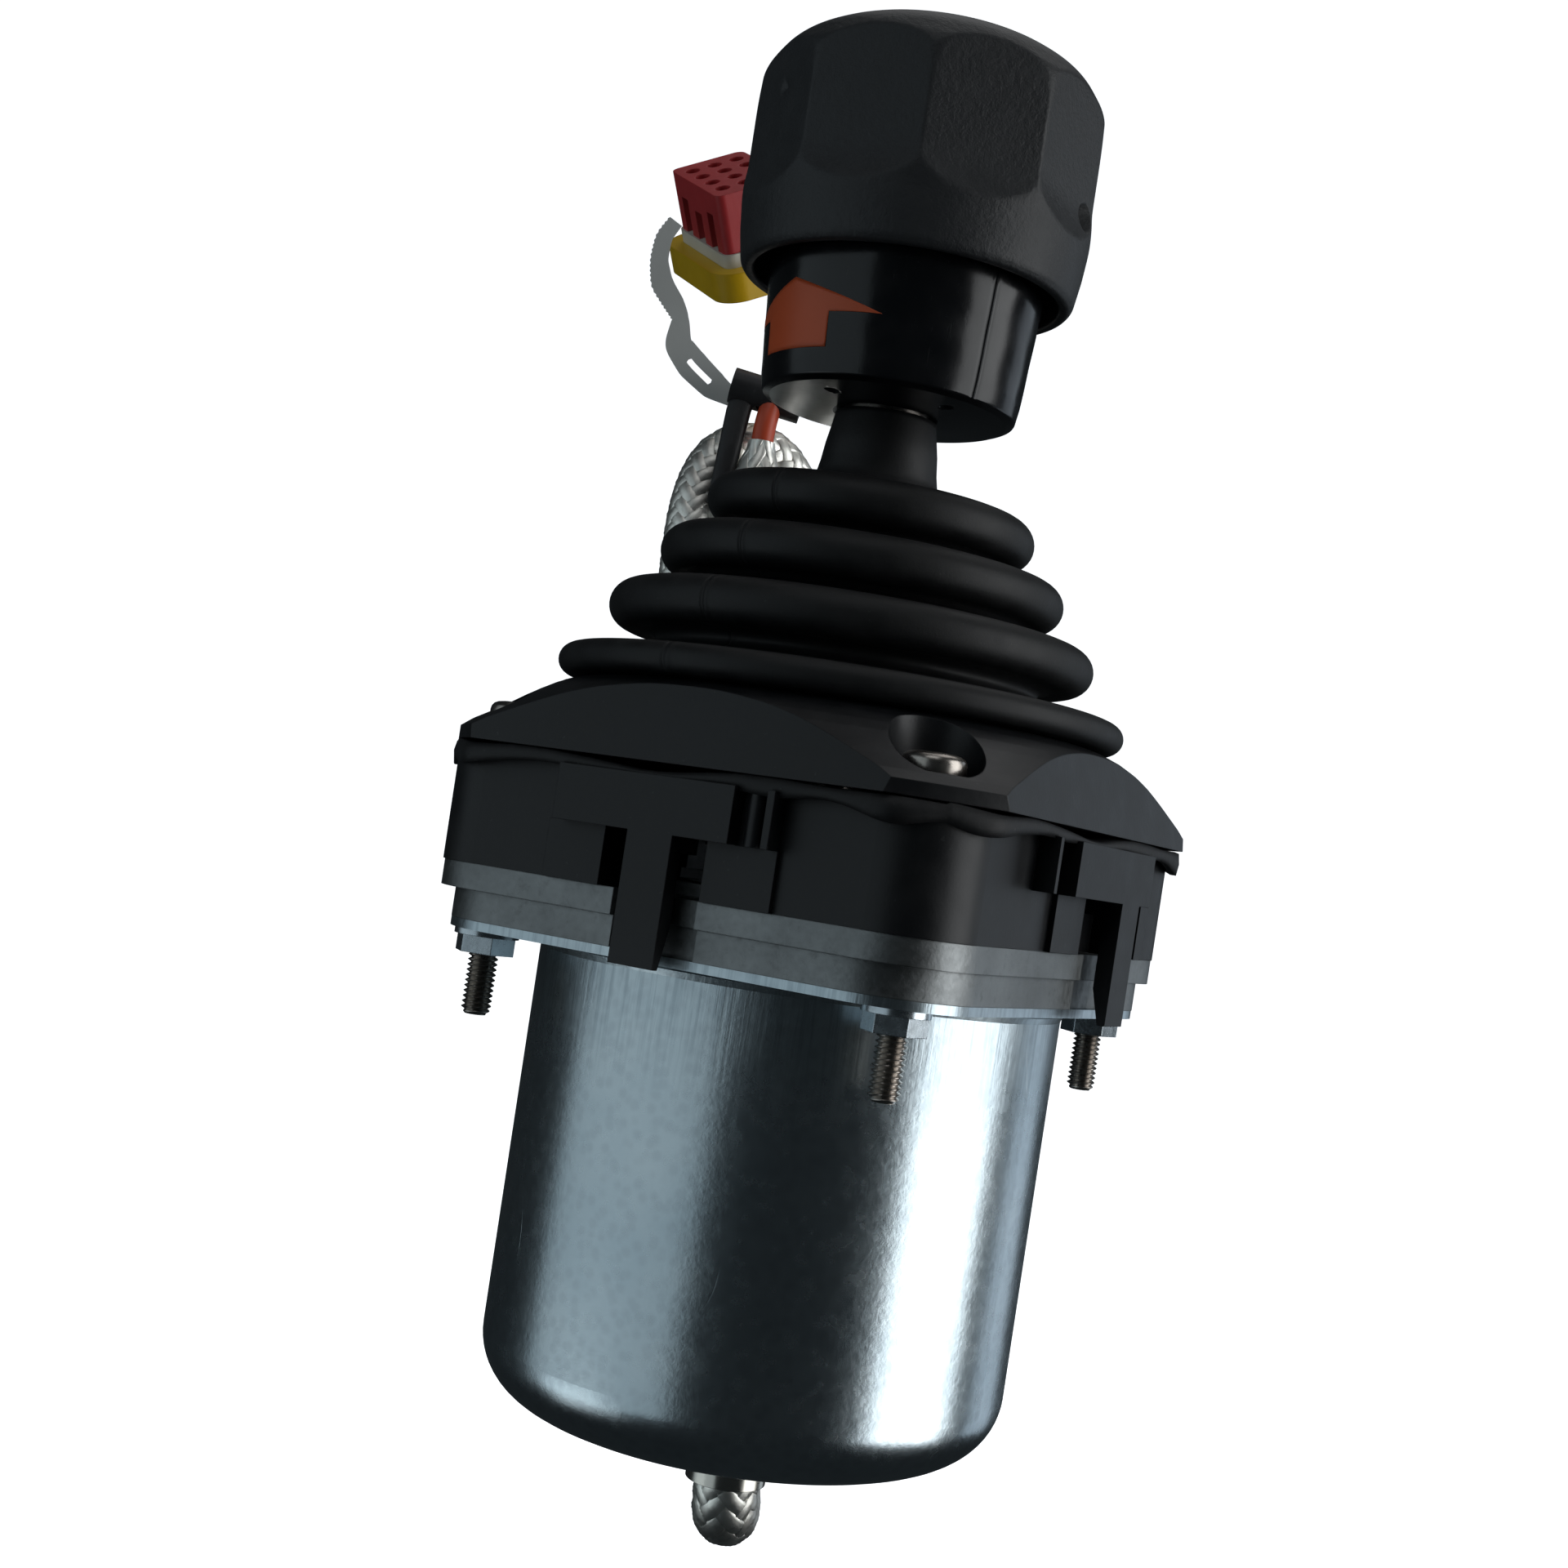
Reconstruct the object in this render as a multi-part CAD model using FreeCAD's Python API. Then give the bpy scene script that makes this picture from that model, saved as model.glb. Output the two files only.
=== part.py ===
import FreeCAD, Part
import os
from math import sin, cos, tan, pi, radians, sqrt, acos, degrees
from FreeCAD import Vector as V

os.makedirs("parts", exist_ok=True)

# ---------------------------------------------------------------- driving dimensions (mm)
# Frame: +Z up along the lever at rest. Origin on the lever axis, in the plane where the panel sits
# (top of the housing, underside of the gasket). The square body's sides lie along X and Y.
PITCH = 62.0            # screw to screw, both ways
SCREW_R = 2.0           # M4
SHANK_R = 1.77          # the screw above its free thread, thinner as rolled screws are
GASKET_T = 1.6
HOUSING_H = 14.4
PLATE_U = 3.4           # upper die-cast plate
PLATE_L = 4.0           # lower die-cast plate
FLANGE_T = 1.2
Z_H = -HOUSING_H        # housing bottom
Z_PU = Z_H - PLATE_U    # upper plate bottom
Z_PL = Z_PU - PLATE_L   # lower plate bottom
Z_F = Z_PL - FLANGE_T   # flange underside
NUT_H = 3.2
STUD_END = -34.4
CAN_R = 36.2
CAN_T = 1.0
CAN_BOTTOM = -85.2
CAN_CORNER = 9.0
A_COVER_LOW = 41.3      # side facet of the cover at its lower edge
A_COVER_TOP = 38.8      # and at its top
R_COVER = 51.2          # corner arcs of the cover
POCKET_R = 6.0          # pockets for the screw heads
A_HOUSING, RC_HOUSING = 39.0, 10.0
BAND = 42.0             # raised band and fingers
PIVOT = -4.0            # height of both tilt axes
TILT = 18.0             # degrees each way
LIFT = 6.0              # travel of the lift ring
SHAFT_R = 4.0
KNOB_R = 24.4
KNOB_LOW, KNOB_TOP = 72.3, 106.0
RECESS_TOP = 80.5
RING_LOW, RING_TOP = 55.8, 74.0
GLAND_END = -94.2
CABLE_R = 4.6
VIEW = 29.5             # the loose lead's route is laid out in a frame turned by this angle


def turned(x, y, z):
    a = radians(VIEW)
    return (x * cos(a) - y * sin(a), x * sin(a) + y * cos(a), z)


def cyl(r, z0, z1, x=0, y=0):
    return Part.makeCylinder(r, z1 - z0, V(x, y, z0))


def cyl_dir(r, p, q):
    d = V(*q) - V(*p)
    return Part.makeCylinder(r, d.Length, V(*p), d)


def box(x0, x1, y0, y1, z0, z1):
    return Part.makeBox(x1 - x0, y1 - y0, z1 - z0, V(x0, y0, z0))


def rsq(a, r, z0, z1):
    """a rounded square prism, side 2a, corner radius r"""
    s = box(-a, a, -a, a, z0, z1)
    edges = [e for e in s.Edges if abs(e.Vertexes[0].Point.z - e.Vertexes[1].Point.z) > 1e-6]
    return s.makeFillet(r, edges)


def rev(points):
    w = Part.makePolygon([V(r, 0, z) for r, z in points] + [V(points[0][0], 0, points[0][1])])
    return Part.Face(w).revolve(V(0, 0, 0), V(0, 0, 1), 360)


def tube(ro, ri, z0, z1, x=0, y=0):
    return cyl(ro, z0, z1, x, y).cut(cyl(ri, z0 - 1, z1 + 1, x, y))


def hexprism(af, z0, z1, x=0, y=0, turn=0.0):
    R = af / 2 / cos(pi / 6)
    pts = [V(x + R * cos(turn + i * pi / 3), y + R * sin(turn + i * pi / 3), z0) for i in range(6)]
    return Part.Face(Part.makePolygon(pts + [pts[0]])).extrude(V(0, 0, z1 - z0))


def fuse(items):
    s = items[0]
    for i in items[1:]:
        s = s.fuse(i)
    return s.removeSplitter()


def rotk(shape, ks):
    """the shape turned by quarter turns, 0 being the -Y side"""
    out = []
    for k in ks:
        c = shape.copy()
        c.rotate(V(0, 0, 0), V(0, 0, 1), 90 * k)
        out.append(c)
    return out


def rot4(shape):
    out = []
    for k in range(4):
        s = shape.copy()
        s.rotate(V(0, 0, 0), V(0, 0, 1), 90 * k)
        out.append(s)
    return out


CORNERS = [(sx * PITCH / 2, sy * PITCH / 2) for sx in (-1, 1) for sy in (-1, 1)]
parts = {}


def holes(shape, r, z0, z1, at=CORNERS):
    for x, y in at:
        shape = shape.cut(cyl(r, z0, z1, x, y))
    return shape


# ---------------------------------------------------------------- can with its flange
H0 = Z_PL


def cup(r, corner, z_bottom, z_top):
    """a cup's solid: straight wall, round bottom corner"""
    e1 = Part.LineSegment(V(0, 0, z_bottom), V(r - corner, 0, z_bottom))
    mid = V(r - corner + corner * cos(-pi / 4), 0, z_bottom + corner + corner * sin(-pi / 4))
    e2 = Part.Arc(V(r - corner, 0, z_bottom), mid, V(r, 0, z_bottom + corner))
    e3 = Part.LineSegment(V(r, 0, z_bottom + corner), V(r, 0, z_top))
    e4 = Part.LineSegment(V(r, 0, z_top), V(0, 0, z_top))
    e5 = Part.LineSegment(V(0, 0, z_top), V(0, 0, z_bottom))
    w = Part.Wire([e.toShape() for e in (e1, e2, e3, e4, e5)])
    return Part.Face(w).revolve(V(0, 0, 0), V(0, 0, 1), 360)


can = cup(CAN_R, CAN_CORNER, CAN_BOTTOM, H0)
# the flange bends out of the wall with a small radius
neck = rev([(CAN_R - 0.5, Z_F - 1.2), (CAN_R, Z_F - 1.2), (CAN_R + 0.35, Z_F - 0.35), (CAN_R + 1.2, Z_F), (CAN_R - 0.5, Z_F)])
can = fuse([can, neck, rsq(38.0, 12.0, Z_F, H0)])
can = can.cut(cup(CAN_R - CAN_T, CAN_CORNER - CAN_T, CAN_BOTTOM + CAN_T, H0 + 1))
can = holes(can, 2.25, Z_F - 1, H0 + 1)
can = can.cut(cyl(5.3, CAN_BOTTOM - 1, CAN_BOTTOM + 3))
parts["can"] = can

# ---------------------------------------------------------------- plates
def plate(a, r, z0, z1, notch):
    p = rsq(a, r, z0, z1)
    p = holes(p, 2.25, z0 - 1, z1 + 1)
    p = p.cut(cyl(14.0, z0 - 1, z1 + 1))
    for x0, x1, ks in ((-6.2, 6.2, (0, 2)), (4.8, 17.2, (1, 3))):
        for c in rotk(box(x0, x1, -a - 1, -a + notch, z0 - 1, z1 + 1), ks):
            p = p.cut(c)
    return p


parts["upper_plate"] = plate(39.0, 10.6, Z_PU, Z_H, 1.2)
parts["lower_plate"] = plate(38.2, 12.6, Z_PL, Z_PU, 0.8)

# ---------------------------------------------------------------- housing
Y_SIDES = ((-15.0, 16.6), (-16.9, 16.8), (11.0, 15.6), (-8.2, 6.9), (-3.4, 3.2))
X_SIDES = ((-15.5, 18.0), (-8.7, 24.0), (-14.6, -8.4), (0.7, 21.0), (8.2, 14.4))
h = rsq(A_HOUSING, RC_HOUSING, Z_H, 0)
for (band, block, groove, window, root), ks in ((Y_SIDES, (0, 2)), (X_SIDES, (1, 3))):
    for c in rotk(box(band[0], band[1], -BAND, -A_HOUSING + 1, -7.0, 0), ks):
        h = h.fuse(c)
    for c in rotk(box(block[0], block[1], -A_HOUSING - 0.8, -A_HOUSING + 1, Z_H, -7.0), ks):
        h = h.fuse(c)
h = h.cut(cyl(34.5, Z_H - 1, 1))
for (band, block, groove, window, root), ks in ((Y_SIDES, (0, 2)), (X_SIDES, (1, 3))):
    for c in rotk(box(groove[0], groove[1], -BAND - 1, -A_HOUSING - 0.4, -7.0, 1), ks):
        h = h.cut(c)
    # windows beside the finger
    for c in rotk(box(window[0], window[1], -BAND - 1, -33, Z_H - 1, -7.0), ks):
        h = h.cut(c)
    # hanging fingers, tapered behind at the foot
    fp = [V(root[0], -BAND, -7.2), V(root[0], -BAND, -23.4), V(root[0], -40.9, -23.4), V(root[0], -39.6, -18.6), V(root[0], -39.6, -7.2)]
    finger = Part.Face(Part.makePolygon(fp + [fp[0]])).extrude(V(root[1] - root[0], 0, 0))
    finger = finger.fuse(box(root[0], root[1], -BAND, -36.0, -9.0, -6.0))
    for c in rotk(finger, ks):
        h = h.fuse(c)
# half-round rib in the groove of the Y sides
for c in rotk(cyl(1.15, -7.0, 0, 13.3, -A_HOUSING - 0.9), (0, 2)):
    h = h.fuse(c)
h = holes(h.removeSplitter(), 2.2, Z_H - 1, 1)
parts["housing"] = h

# ---------------------------------------------------------------- gasket and cover
g = rsq(40.6, 11.5, 0, GASKET_T).cut(cyl(34.4, -1, 3))
parts["gasket"] = holes(g, 2.3, -1, 3)

Z_C = GASKET_T
dome = [(0, Z_C), (R_COVER, Z_C), (R_COVER, 3.4), (49.8, 4.5), (47.5, 6.0), (45.2, 7.6), (43.2, 9.0), (41.3, 10.2), (39.3, 11.3), (37.0, 12.2), (35.8, 12.5), (0, 12.5)]
cover = rev(dome)
hw = 60.0
side = []
for k in range(4):
    pts = [V(-hw, -A_COVER_LOW, Z_C - 1), V(-hw, -A_COVER_LOW, Z_C), V(-hw, -A_COVER_TOP, 12.6), V(-hw, -A_COVER_TOP, 20), V(-hw, -70, 20), V(-hw, -70, Z_C - 1)]
    s = Part.Face(Part.makePolygon(pts + [pts[0]])).extrude(V(2 * hw, 0, 0))
    s.rotate(V(0, 0, 0), V(0, 0, 1), 90 * k)
    side.append(s)
for s in side:
    cover = cover.cut(s)
inner = [(0, Z_C - 1), (48.6, Z_C - 1), (48.6, 2.4), (46.4, 4.2), (44.2, 5.8), (42.0, 7.4), (40.2, 8.6), (38.4, 9.6), (36.8, 10.3), (0, 10.3)]
hollow = rev(inner)
for k in range(4):
    pts = [V(-hw, -38.9, Z_C - 2), V(-hw, -38.9, Z_C), V(-hw, -36.7, 12.6), V(-hw, -36.7, 20), V(-hw, -70, 20), V(-hw, -70, Z_C - 2)]
    s = Part.Face(Part.makePolygon(pts + [pts[0]])).extrude(V(2 * hw, 0, 0))
    s.rotate(V(0, 0, 0), V(0, 0, 1), 90 * k)
    hollow = hollow.cut(s)
for x, y in CORNERS:
    hollow = hollow.cut(cyl(POCKET_R + 1.5, Z_C - 2, 12, x, y))
cover = cover.cut(hollow).cut(cyl(34.0, 0, 20))
for x, y in CORNERS:
    cover = cover.cut(cyl(POCKET_R, 4.8, 20, x, y)).cut(cyl(2.2, 0, 6, x, y))
parts["cover"] = cover

# ---------------------------------------------------------------- mounting screws and nuts
scr, nut = [], []
for x, y in CORNERS:
    head = cyl(4.0, 4.8, 7.3, x, y)
    head = head.makeFillet(1.4, [e for e in head.Edges if abs(e.BoundBox.ZMin - 7.3) < 1e-6 and abs(e.BoundBox.ZMax - 7.3) < 1e-6])
    s = head.fuse(cyl(SHANK_R, Z_F - NUT_H - 0.1, 5.0, x, y)).fuse(cyl(SCREW_R, STUD_END, Z_F - NUT_H - 0.1, x, y)).cut(hexprism(2.5, 5.4, 8.0, x, y))
    s = s.removeSplitter()
    scr.append(s)
    n = hexprism(7.0, Z_F - NUT_H, Z_F - 0.7, x, y, 0.35).fuse(cyl(4.3, Z_F - 0.9, Z_F, x, y)).cut(cyl(SHANK_R, Z_F - 5, Z_F + 1, x, y))
    nut.append(n.removeSplitter())
parts["mounting_screws"] = Part.makeCompound(scr)
parts["mounting_nuts"] = Part.makeCompound(nut)

# ---------------------------------------------------------------- boot and its clamp ring
def boot_profile():
    """outer line up, then the inner line down"""
    out = [(36.4, 8.7), (36.4, 10.1), (33.8, 10.1), (33.8, 12.8)]
    def ring(rc, zc, r, n=7, a0=-pi / 2, a1=pi / 2):
        return [(rc + r * cos(a0 + i * (a1 - a0) / (n - 1)), zc + r * sin(a0 + i * (a1 - a0) / (n - 1))) for i in range(n)]
    out += [(36.4, 12.8)] + ring(37.3, 14.8, 2.0)[1:]
    out += [(28.4, 17.6), (26.6, 18.6), (26.6, 19.6), (28.0, 20.2)]
    out += ring(30.7, 23.3, 3.1)
    out += [(24.0, 26.6), (22.6, 27.4), (22.6, 28.1), (24.0, 28.6)]
    out += ring(25.1, 31.7, 3.1)
    out += [(18.6, 35.0), (17.4, 35.6), (17.4, 36.2), (18.4, 36.6)]
    out += ring(19.8, 39.7, 3.1)
    out += [(10.6, 43.6), (8.9, 44.6), (8.2, 46.4), (7.9, 49.5), (7.3, 52.6), (7.05, 54.6)]
    inn = [(6.1, 54.6), (6.1, 49.5), (6.5, 46.0), (7.6, 43.2), (10.2, 41.8), (17.6, 41.4), (19.6, 40.9), (20.6, 39.7), (19.6, 38.5), (17.0, 38.1), (15.6, 36.9), (15.6, 34.8),
           (17.2, 33.4), (24.6, 33.3), (25.8, 32.9), (26.4, 31.7), (25.6, 30.5), (22.2, 30.2), (20.7, 29.0), (20.7, 26.6), (22.2, 25.1),
           (29.6, 24.9), (31.2, 24.5), (31.9, 23.3), (31.2, 22.1), (26.6, 21.8), (24.7, 20.6), (24.7, 17.6), (26.4, 16.2), (35.6, 15.6), (36.4, 14.9),
           (35.2, 14.5), (32.4, 14.3), (32.0, 12.6), (32.0, 8.7)]
    return out + inn


parts["boot"] = rev(boot_profile())
clamp = tube(36.4, 30.6, 6.9, 8.5)
cl_at = [(33.4 * cos(radians(a)), 33.4 * sin(radians(a))) for a in (0, 90, 180, 270)]
parts["boot_clamp_ring"] = holes(clamp, 0.85, 0, 12, cl_at)
parts["clamp_screws"] = Part.makeCompound([cyl(1.6, 5.7, 6.9, x, y).fuse(cyl(0.8, 6.8, 8.5, x, y)).removeSplitter() for x, y in cl_at])

# ---------------------------------------------------------------- gimbal
frame = tube(27.0, 17.5, Z_H, Z_H + 1.8)
for sx in (-1, 1):
    post = box(18.0, 22.0, -5.5, 5.5, Z_H + 1.8, PIVOT + 5.5)
    post = post.fuse(box(17.8, 26.0, -7.0, 7.0, Z_H + 1.0, Z_H + 3.2))
    if sx < 0:
        post.rotate(V(0, 0, 0), V(0, 0, 1), 180)
    frame = frame.fuse(post)
frame = frame.cut(cyl(17.5, Z_H - 1, Z_H + 4)).removeSplitter()
frame = frame.cut(cyl_dir(3.5, (-40, 0, PIVOT), (40, 0, PIVOT)))
fr_at = [(22.3 * cos(radians(a)), 22.3 * sin(radians(a))) for a in (45, 135, 225, 315)]
parts["gimbal_frame"] = holes(frame, 1.5, Z_H - 1, 0, fr_at)
parts["frame_screws"] = Part.makeCompound([cyl(2.6, Z_H + 1.8, Z_H + 3.6, x, y).fuse(cyl(1.5, Z_H - 0.0, Z_H + 2, x, y)).removeSplitter() for x, y in fr_at])
bush = []
for sx in (-1, 1):
    b = cyl_dir(3.5, (sx * 17.6, 0, PIVOT), (sx * 22.4, 0, PIVOT)).cut(cyl_dir(2.05, (sx * 10, 0, PIVOT), (sx * 30, 0, PIVOT)))
    bush.append(b)
parts["trunnion_bushes"] = Part.makeCompound(bush)

ring = tube(16.0, 11.0, PIVOT - 3.5, PIVOT + 3.5)
ring = ring.cut(cyl_dir(2.05, (0, -20, PIVOT), (0, 20, PIVOT))).cut(cyl_dir(2.0, (-20, 0, PIVOT), (20, 0, PIVOT)))
for sy in (-1, 1):
    ring = ring.cut(box(-6, 6, min(sy * 15.2, sy * 20), max(sy * 15.2, sy * 20), PIVOT - 4, PIVOT + 4))
parts["gimbal_ring"] = ring
parts["trunnion_pins"] = Part.makeCompound([cyl_dir(2.0, (sx * 11.6, 0, PIVOT), (sx * 24.4, 0, PIVOT)) for sx in (-1, 1)])


def coil(axis, c0, n, R, wire, step):
    """a close-wound torsion spring: turns side by side"""
    items = []
    for i in range(n):
        p = V(*[c0[k] + axis[k] * i * step for k in range(3)])
        items.append(Part.makeTorus(R, wire, p, V(*axis)))
    return fuse(items)


tor = []
for sx in (-1, 1):
    s = coil((sx, 0, 0), (sx * 22.95, 0, PIVOT), 3, 3.0, 0.5, 0.9)
    tor.append(s)
parts["centring_springs_x"] = Part.makeCompound(tor)
tor = []
for sy in (-1, 1):
    s = coil((0, sy, 0), (0, sy * 8.2, PIVOT), 3, 3.0, 0.5, 0.9)
    tor.append(s)
parts["centring_springs_y"] = Part.makeCompound(tor)

# ---------------------------------------------------------------- lever
shaft = fuse([cyl(SHAFT_R, -12.0, 97.0), cyl(3.0, -40.0, -12.0), cyl(2.2, -42.0, -40.0)])
shaft = shaft.cut(cyl_dir(2.0, (0, -20, PIVOT), (0, 20, PIVOT)))
sdir = (cos(radians(11.5)), sin(radians(11.5)))
shaft = shaft.cut(cyl_dir(2.5, (sdir[0] * 3.4, sdir[1] * 3.4, 84.0), (sdir[0] * 9, sdir[1] * 9, 84.0)))
parts["lever_shaft"] = shaft
hub = cyl(7.4, PIVOT - 6.0, PIVOT + 6.0)
hub = hub.makeFillet(1.2, [e for e in hub.Edges if e.Curve.TypeId == "Part::GeomCircle"])
hub = hub.cut(cyl(SHAFT_R, -20, 10)).cut(cyl_dir(2.0, (0, -20, PIVOT), (0, 20, PIVOT)))
parts["lever_hub"] = hub
parts["cross_pin"] = cyl_dir(2.0, (0, -15.1, PIVOT), (0, 15.1, PIVOT))
parts["magnet_holder"] = tube(5.0, 2.2, -42.0, -40.0).fuse(tube(5.0, 3.6, -44.0, -42.0)).removeSplitter()
parts["magnet"] = cyl(3.6, -44.0, -42.0)

# ---------------------------------------------------------------- knob
kp = [(0, KNOB_LOW), (22.4, KNOB_LOW), (23.2, 72.9), (23.9, 77.0), (KNOB_R, 82.0), (24.2, 98.2), (23.5, 99.8), (21.6, 101.9), (19.4, 103.5), (16.5, 104.7), (11.0, 105.6), (5.0, 106.0), (0, 106.0)]
knob = rev(kp)
for k in range(9):
    s = box(22.75, 40, -12, 12, 85.0, 110)
    s = s.makeFillet(6.0, [e for e in s.Edges if abs(e.BoundBox.XMin - 22.75) < 1e-6 and abs(e.BoundBox.XMax - 22.75) < 1e-6 and abs(e.BoundBox.ZMax - 85.0) < 1e-6])
    s.rotate(V(0, 0, 0), V(0, 0, 1), -42.5 + 40 * k)
    knob = knob.cut(s)
knob = knob.cut(cyl(21.2, KNOB_LOW - 1, RECESS_TOP)).cut(cyl(SHAFT_R, 70, 97.0))
knob = knob.cut(cyl_dir(2.5, (sdir[0] * 3, sdir[1] * 3, 84.0), (sdir[0] * 30, sdir[1] * 30, 84.0)))
parts["knob"] = knob
grub = cyl_dir(2.5, (sdir[0] * 3.5, sdir[1] * 3.5, 84.0), (sdir[0] * 21.0, sdir[1] * 21.0, 84.0))
grub = grub.cut(cyl_dir(1.25, (sdir[0] * 18.0, sdir[1] * 18.0, 84.0), (sdir[0] * 22, sdir[1] * 22, 84.0)))
parts["knob_set_screw"] = grub

# ---------------------------------------------------------------- lift ring, its sleeve and spring
lp = [(5.8, 55.0), (8.6, 54.9), (16.9, RING_LOW), (17.8, 56.4), (18.15, 58.5), (19.2, 73.0), (18.9, RING_TOP), (11.2, RING_TOP), (11.2, 63.0), (5.8, 63.0)]
lift = rev(lp)
for a in (-60.5 + 38, -60.5 - 38):
    x, y = 12.6 * cos(radians(a)), 12.6 * sin(radians(a))
    lift = lift.cut(cyl(1.1, 50, 58.0, x, y))
parts["lift_ring"] = lift
parts["lock_sleeve"] = tube(5.8, 4.06, 24.0, 66.0)


def helix_spring(R, wire, z0, z1, turns):
    pitch = (z1 - z0 - 2 * wire) / turns
    hx = Part.makeHelix(pitch, pitch * turns, R)
    hx.translate(V(0, 0, z0 + wire))
    prof = Part.Wire(Part.makeCircle(wire, V(R, 0, z0 + wire), V(0, R, pitch / (2 * pi))))
    s = Part.Wire(hx).makePipeShell([prof], True, True)
    if s.ShapeType != "Solid":
        s = Part.Solid(s)
    return s


parts["lift_spring"] = helix_spring(8.6, 0.6, 63.06, RECESS_TOP - 0.06, 4)

# ---------------------------------------------------------------- travel limiter, boards
gate = cyl(28.5, -26.5, -24.0).cut(rsq(11.2, 2.5, -30, -20))
gs_at = [(sx * 16.5, sy * 16.5) for sx in (-1, 1) for sy in (-1, 1)]
so_at = [(25, 0), (-25, 0), (0, 25), (0, -25)]
gate = holes(gate, 1.5, -30, -20, gs_at)
gate = holes(gate, 1.25, -30, -20, so_at)
parts["travel_gate"] = gate
parts["gate_spacers"] = Part.makeCompound([tube(2.8, 1.5, -24.0, Z_PL, x, y) for x, y in gs_at])
parts["gate_screws"] = Part.makeCompound([cyl(2.6, -28.2, -26.5, x, y).fuse(cyl(1.5, -27.0, Z_PL, x, y)).removeSplitter() for x, y in gs_at])
parts["sensor_standoffs"] = Part.makeCompound([hexprism(4.5, -46.0, -26.5, x, y).fuse(cyl(1.25, -27, -24.0, x, y)).removeSplitter() for x, y in so_at])
parts["sensor_board"] = cyl(28.5, -47.6, -46.0)
parts["hall_sensor"] = box(-3.0, 3.0, -2.5, 2.5, -46.0, -45.0)
parts["board_standoffs"] = Part.makeCompound([hexprism(4.5, -60.0, -47.6, x, y) for x, y in so_at])
mb = cyl(28.5, -61.6, -60.0)
parts["main_board"] = mb
parts["board_screws"] = Part.makeCompound([cyl(2.3, -63.2, -61.6, x, y) for x, y in so_at])
parts["terminal_block"] = box(-11, 11, 8, 16.0, -69.0, -61.6)

# ---------------------------------------------------------------- cable gland
gb = tube(5.6, 4.7, GLAND_END, CAN_BOTTOM).fuse(tube(5.25, 4.7, CAN_BOTTOM, -78.6)).removeSplitter()
parts["cable_gland"] = gb
parts["gland_lock_nut"] = hexprism(14.0, CAN_BOTTOM + CAN_T, -80.2).cut(cyl(5.25, -90, -70))

# ---------------------------------------------------------------- the lead: cable, folded up behind the body
# (turned frame: x to the side, y to the rear)
CABLE = [
    (0, 0, -72.0), (0, 0, -97.4), (1.2, 9.0, -102.6), (0.8, 22.5, -101.0), (-7.0, 36.0, -95.4),
    (-18.6, 45.0, -83.0), (-26.4, 49.8, -64.0), (-28.4, 51.6, -34.0), (-27.8, 54.6, 2.0), (-29.4, 60.4, 30.0),
    (-30.4, 66.0, 56.0), (-21.6, 71.0, 63.2), (-12.6, 75.0, 56.0), (-12.9, 74.6, 26.0),
    (-13.2, 74.8, -1.0), (-16.6, 67.6, -5.8), (-20.2, 60.4, -1.0), (-20.3, 60.6, 20.0), (-20.2, 61.6, 50.0),
]


def tube_path(points, r, label):
    P = [V(*turned(*p)) for p in points]
    runs = [(P[i + 1] - P[i]).Length for i in range(len(P) - 1)]
    edges, last, radii, total = [], P[0], [], 0.0
    for i in range(1, len(P) - 1):
        a, b = (P[i] - P[i - 1]).normalize(), (P[i + 1] - P[i]).normalize()
        turn = acos(max(-1, min(1, a.dot(b))))
        cutback = 0.45 * min(runs[i - 1], runs[i])
        rad = cutback / tan(turn / 2)
        radii.append((round(rad, 1), round(degrees(turn))))
        s, e = P[i] - a * cutback, P[i] + b * cutback
        bis = (b - a).normalize()
        centre = P[i] + bis * (rad / cos(turn / 2))
        mid = centre - bis * rad
        edges += [Part.LineSegment(last, s).toShape(), Part.Arc(s, mid, e).toShape()]
        total += (s - last).Length + rad * turn
        last = e
    edges.append(Part.LineSegment(last, P[-1]).toShape())
    total += (P[-1] - last).Length
    wire = Part.Wire(edges)
    d0 = (P[1] - P[0]).normalize()
    prof = Part.Wire(Part.makeCircle(r, P[0], d0))
    s = wire.makePipeShell([prof], True, False)
    if s.ShapeType != "Solid":
        s = Part.Solid(s)
    print(label, "radii/turns", radii)
    print(label, "length %.1f volume/section-length %.4f valid %s" % (total, s.Volume / (pi * r * r * total), s.isValid()))
    return s


parts["cable"] = tube_path(CABLE, CABLE_R, "cable")

# the opened end of the braid, the black sleeve and the leads to the connector
def cone_at(p, r0, r1, h):
    x, y, z = turned(*p)
    return Part.makeCone(r0, r1, h, V(x, y, z))


parts["braid_end"] = cone_at((-20.2, 61.6, 50.0), 5.6, 2.4, 11.0)
LEADS = [(-20.2, 61.6, 61.0), (-20.2, 61.6, 67.0), (-17.6, 67.0, 73.6), (-15.0, 80.0, 77.0), (-17.0, 90.0, 80.5), (-19.9, 91.1, 89.5), (-22.1, 86.2, 96.1)]
parts["leads"] = tube_path(LEADS, 2.0, "leads")


def px(x, y, depth):
    """a point of the turned frame, from view coordinates in mm at the axis and a depth behind it"""
    return (x * (281.0 + depth) / 281.0, depth, (y + 7.0) * (281.0 + depth) / 281.0 - 7.0)


def slab(outline, depth, t):
    """a thin plate parallel to the view plane"""
    pts = [V(*turned(px(x, z, depth)[0], depth, px(x, z, depth)[2])) for x, z in outline]
    d = V(*turned(0, t, 0))
    return Part.Face(Part.makePolygon(pts + [pts[0]])).extrude(d)


# black sleeve: a short tube lying across, with one leg hanging down
sl = []
a, b = V(*turned(-26.8, 63.2, 70.4)), V(*turned(-14.6, 63.6, 68.6))
parts["lead_sleeve"] = Part.makeCylinder(3.0, (b - a).Length, a, b - a).cut(cyl_dir(2.02, turned(-20.2, 61.6, 60.0), turned(-20.2, 61.6, 67.2)))

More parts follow.
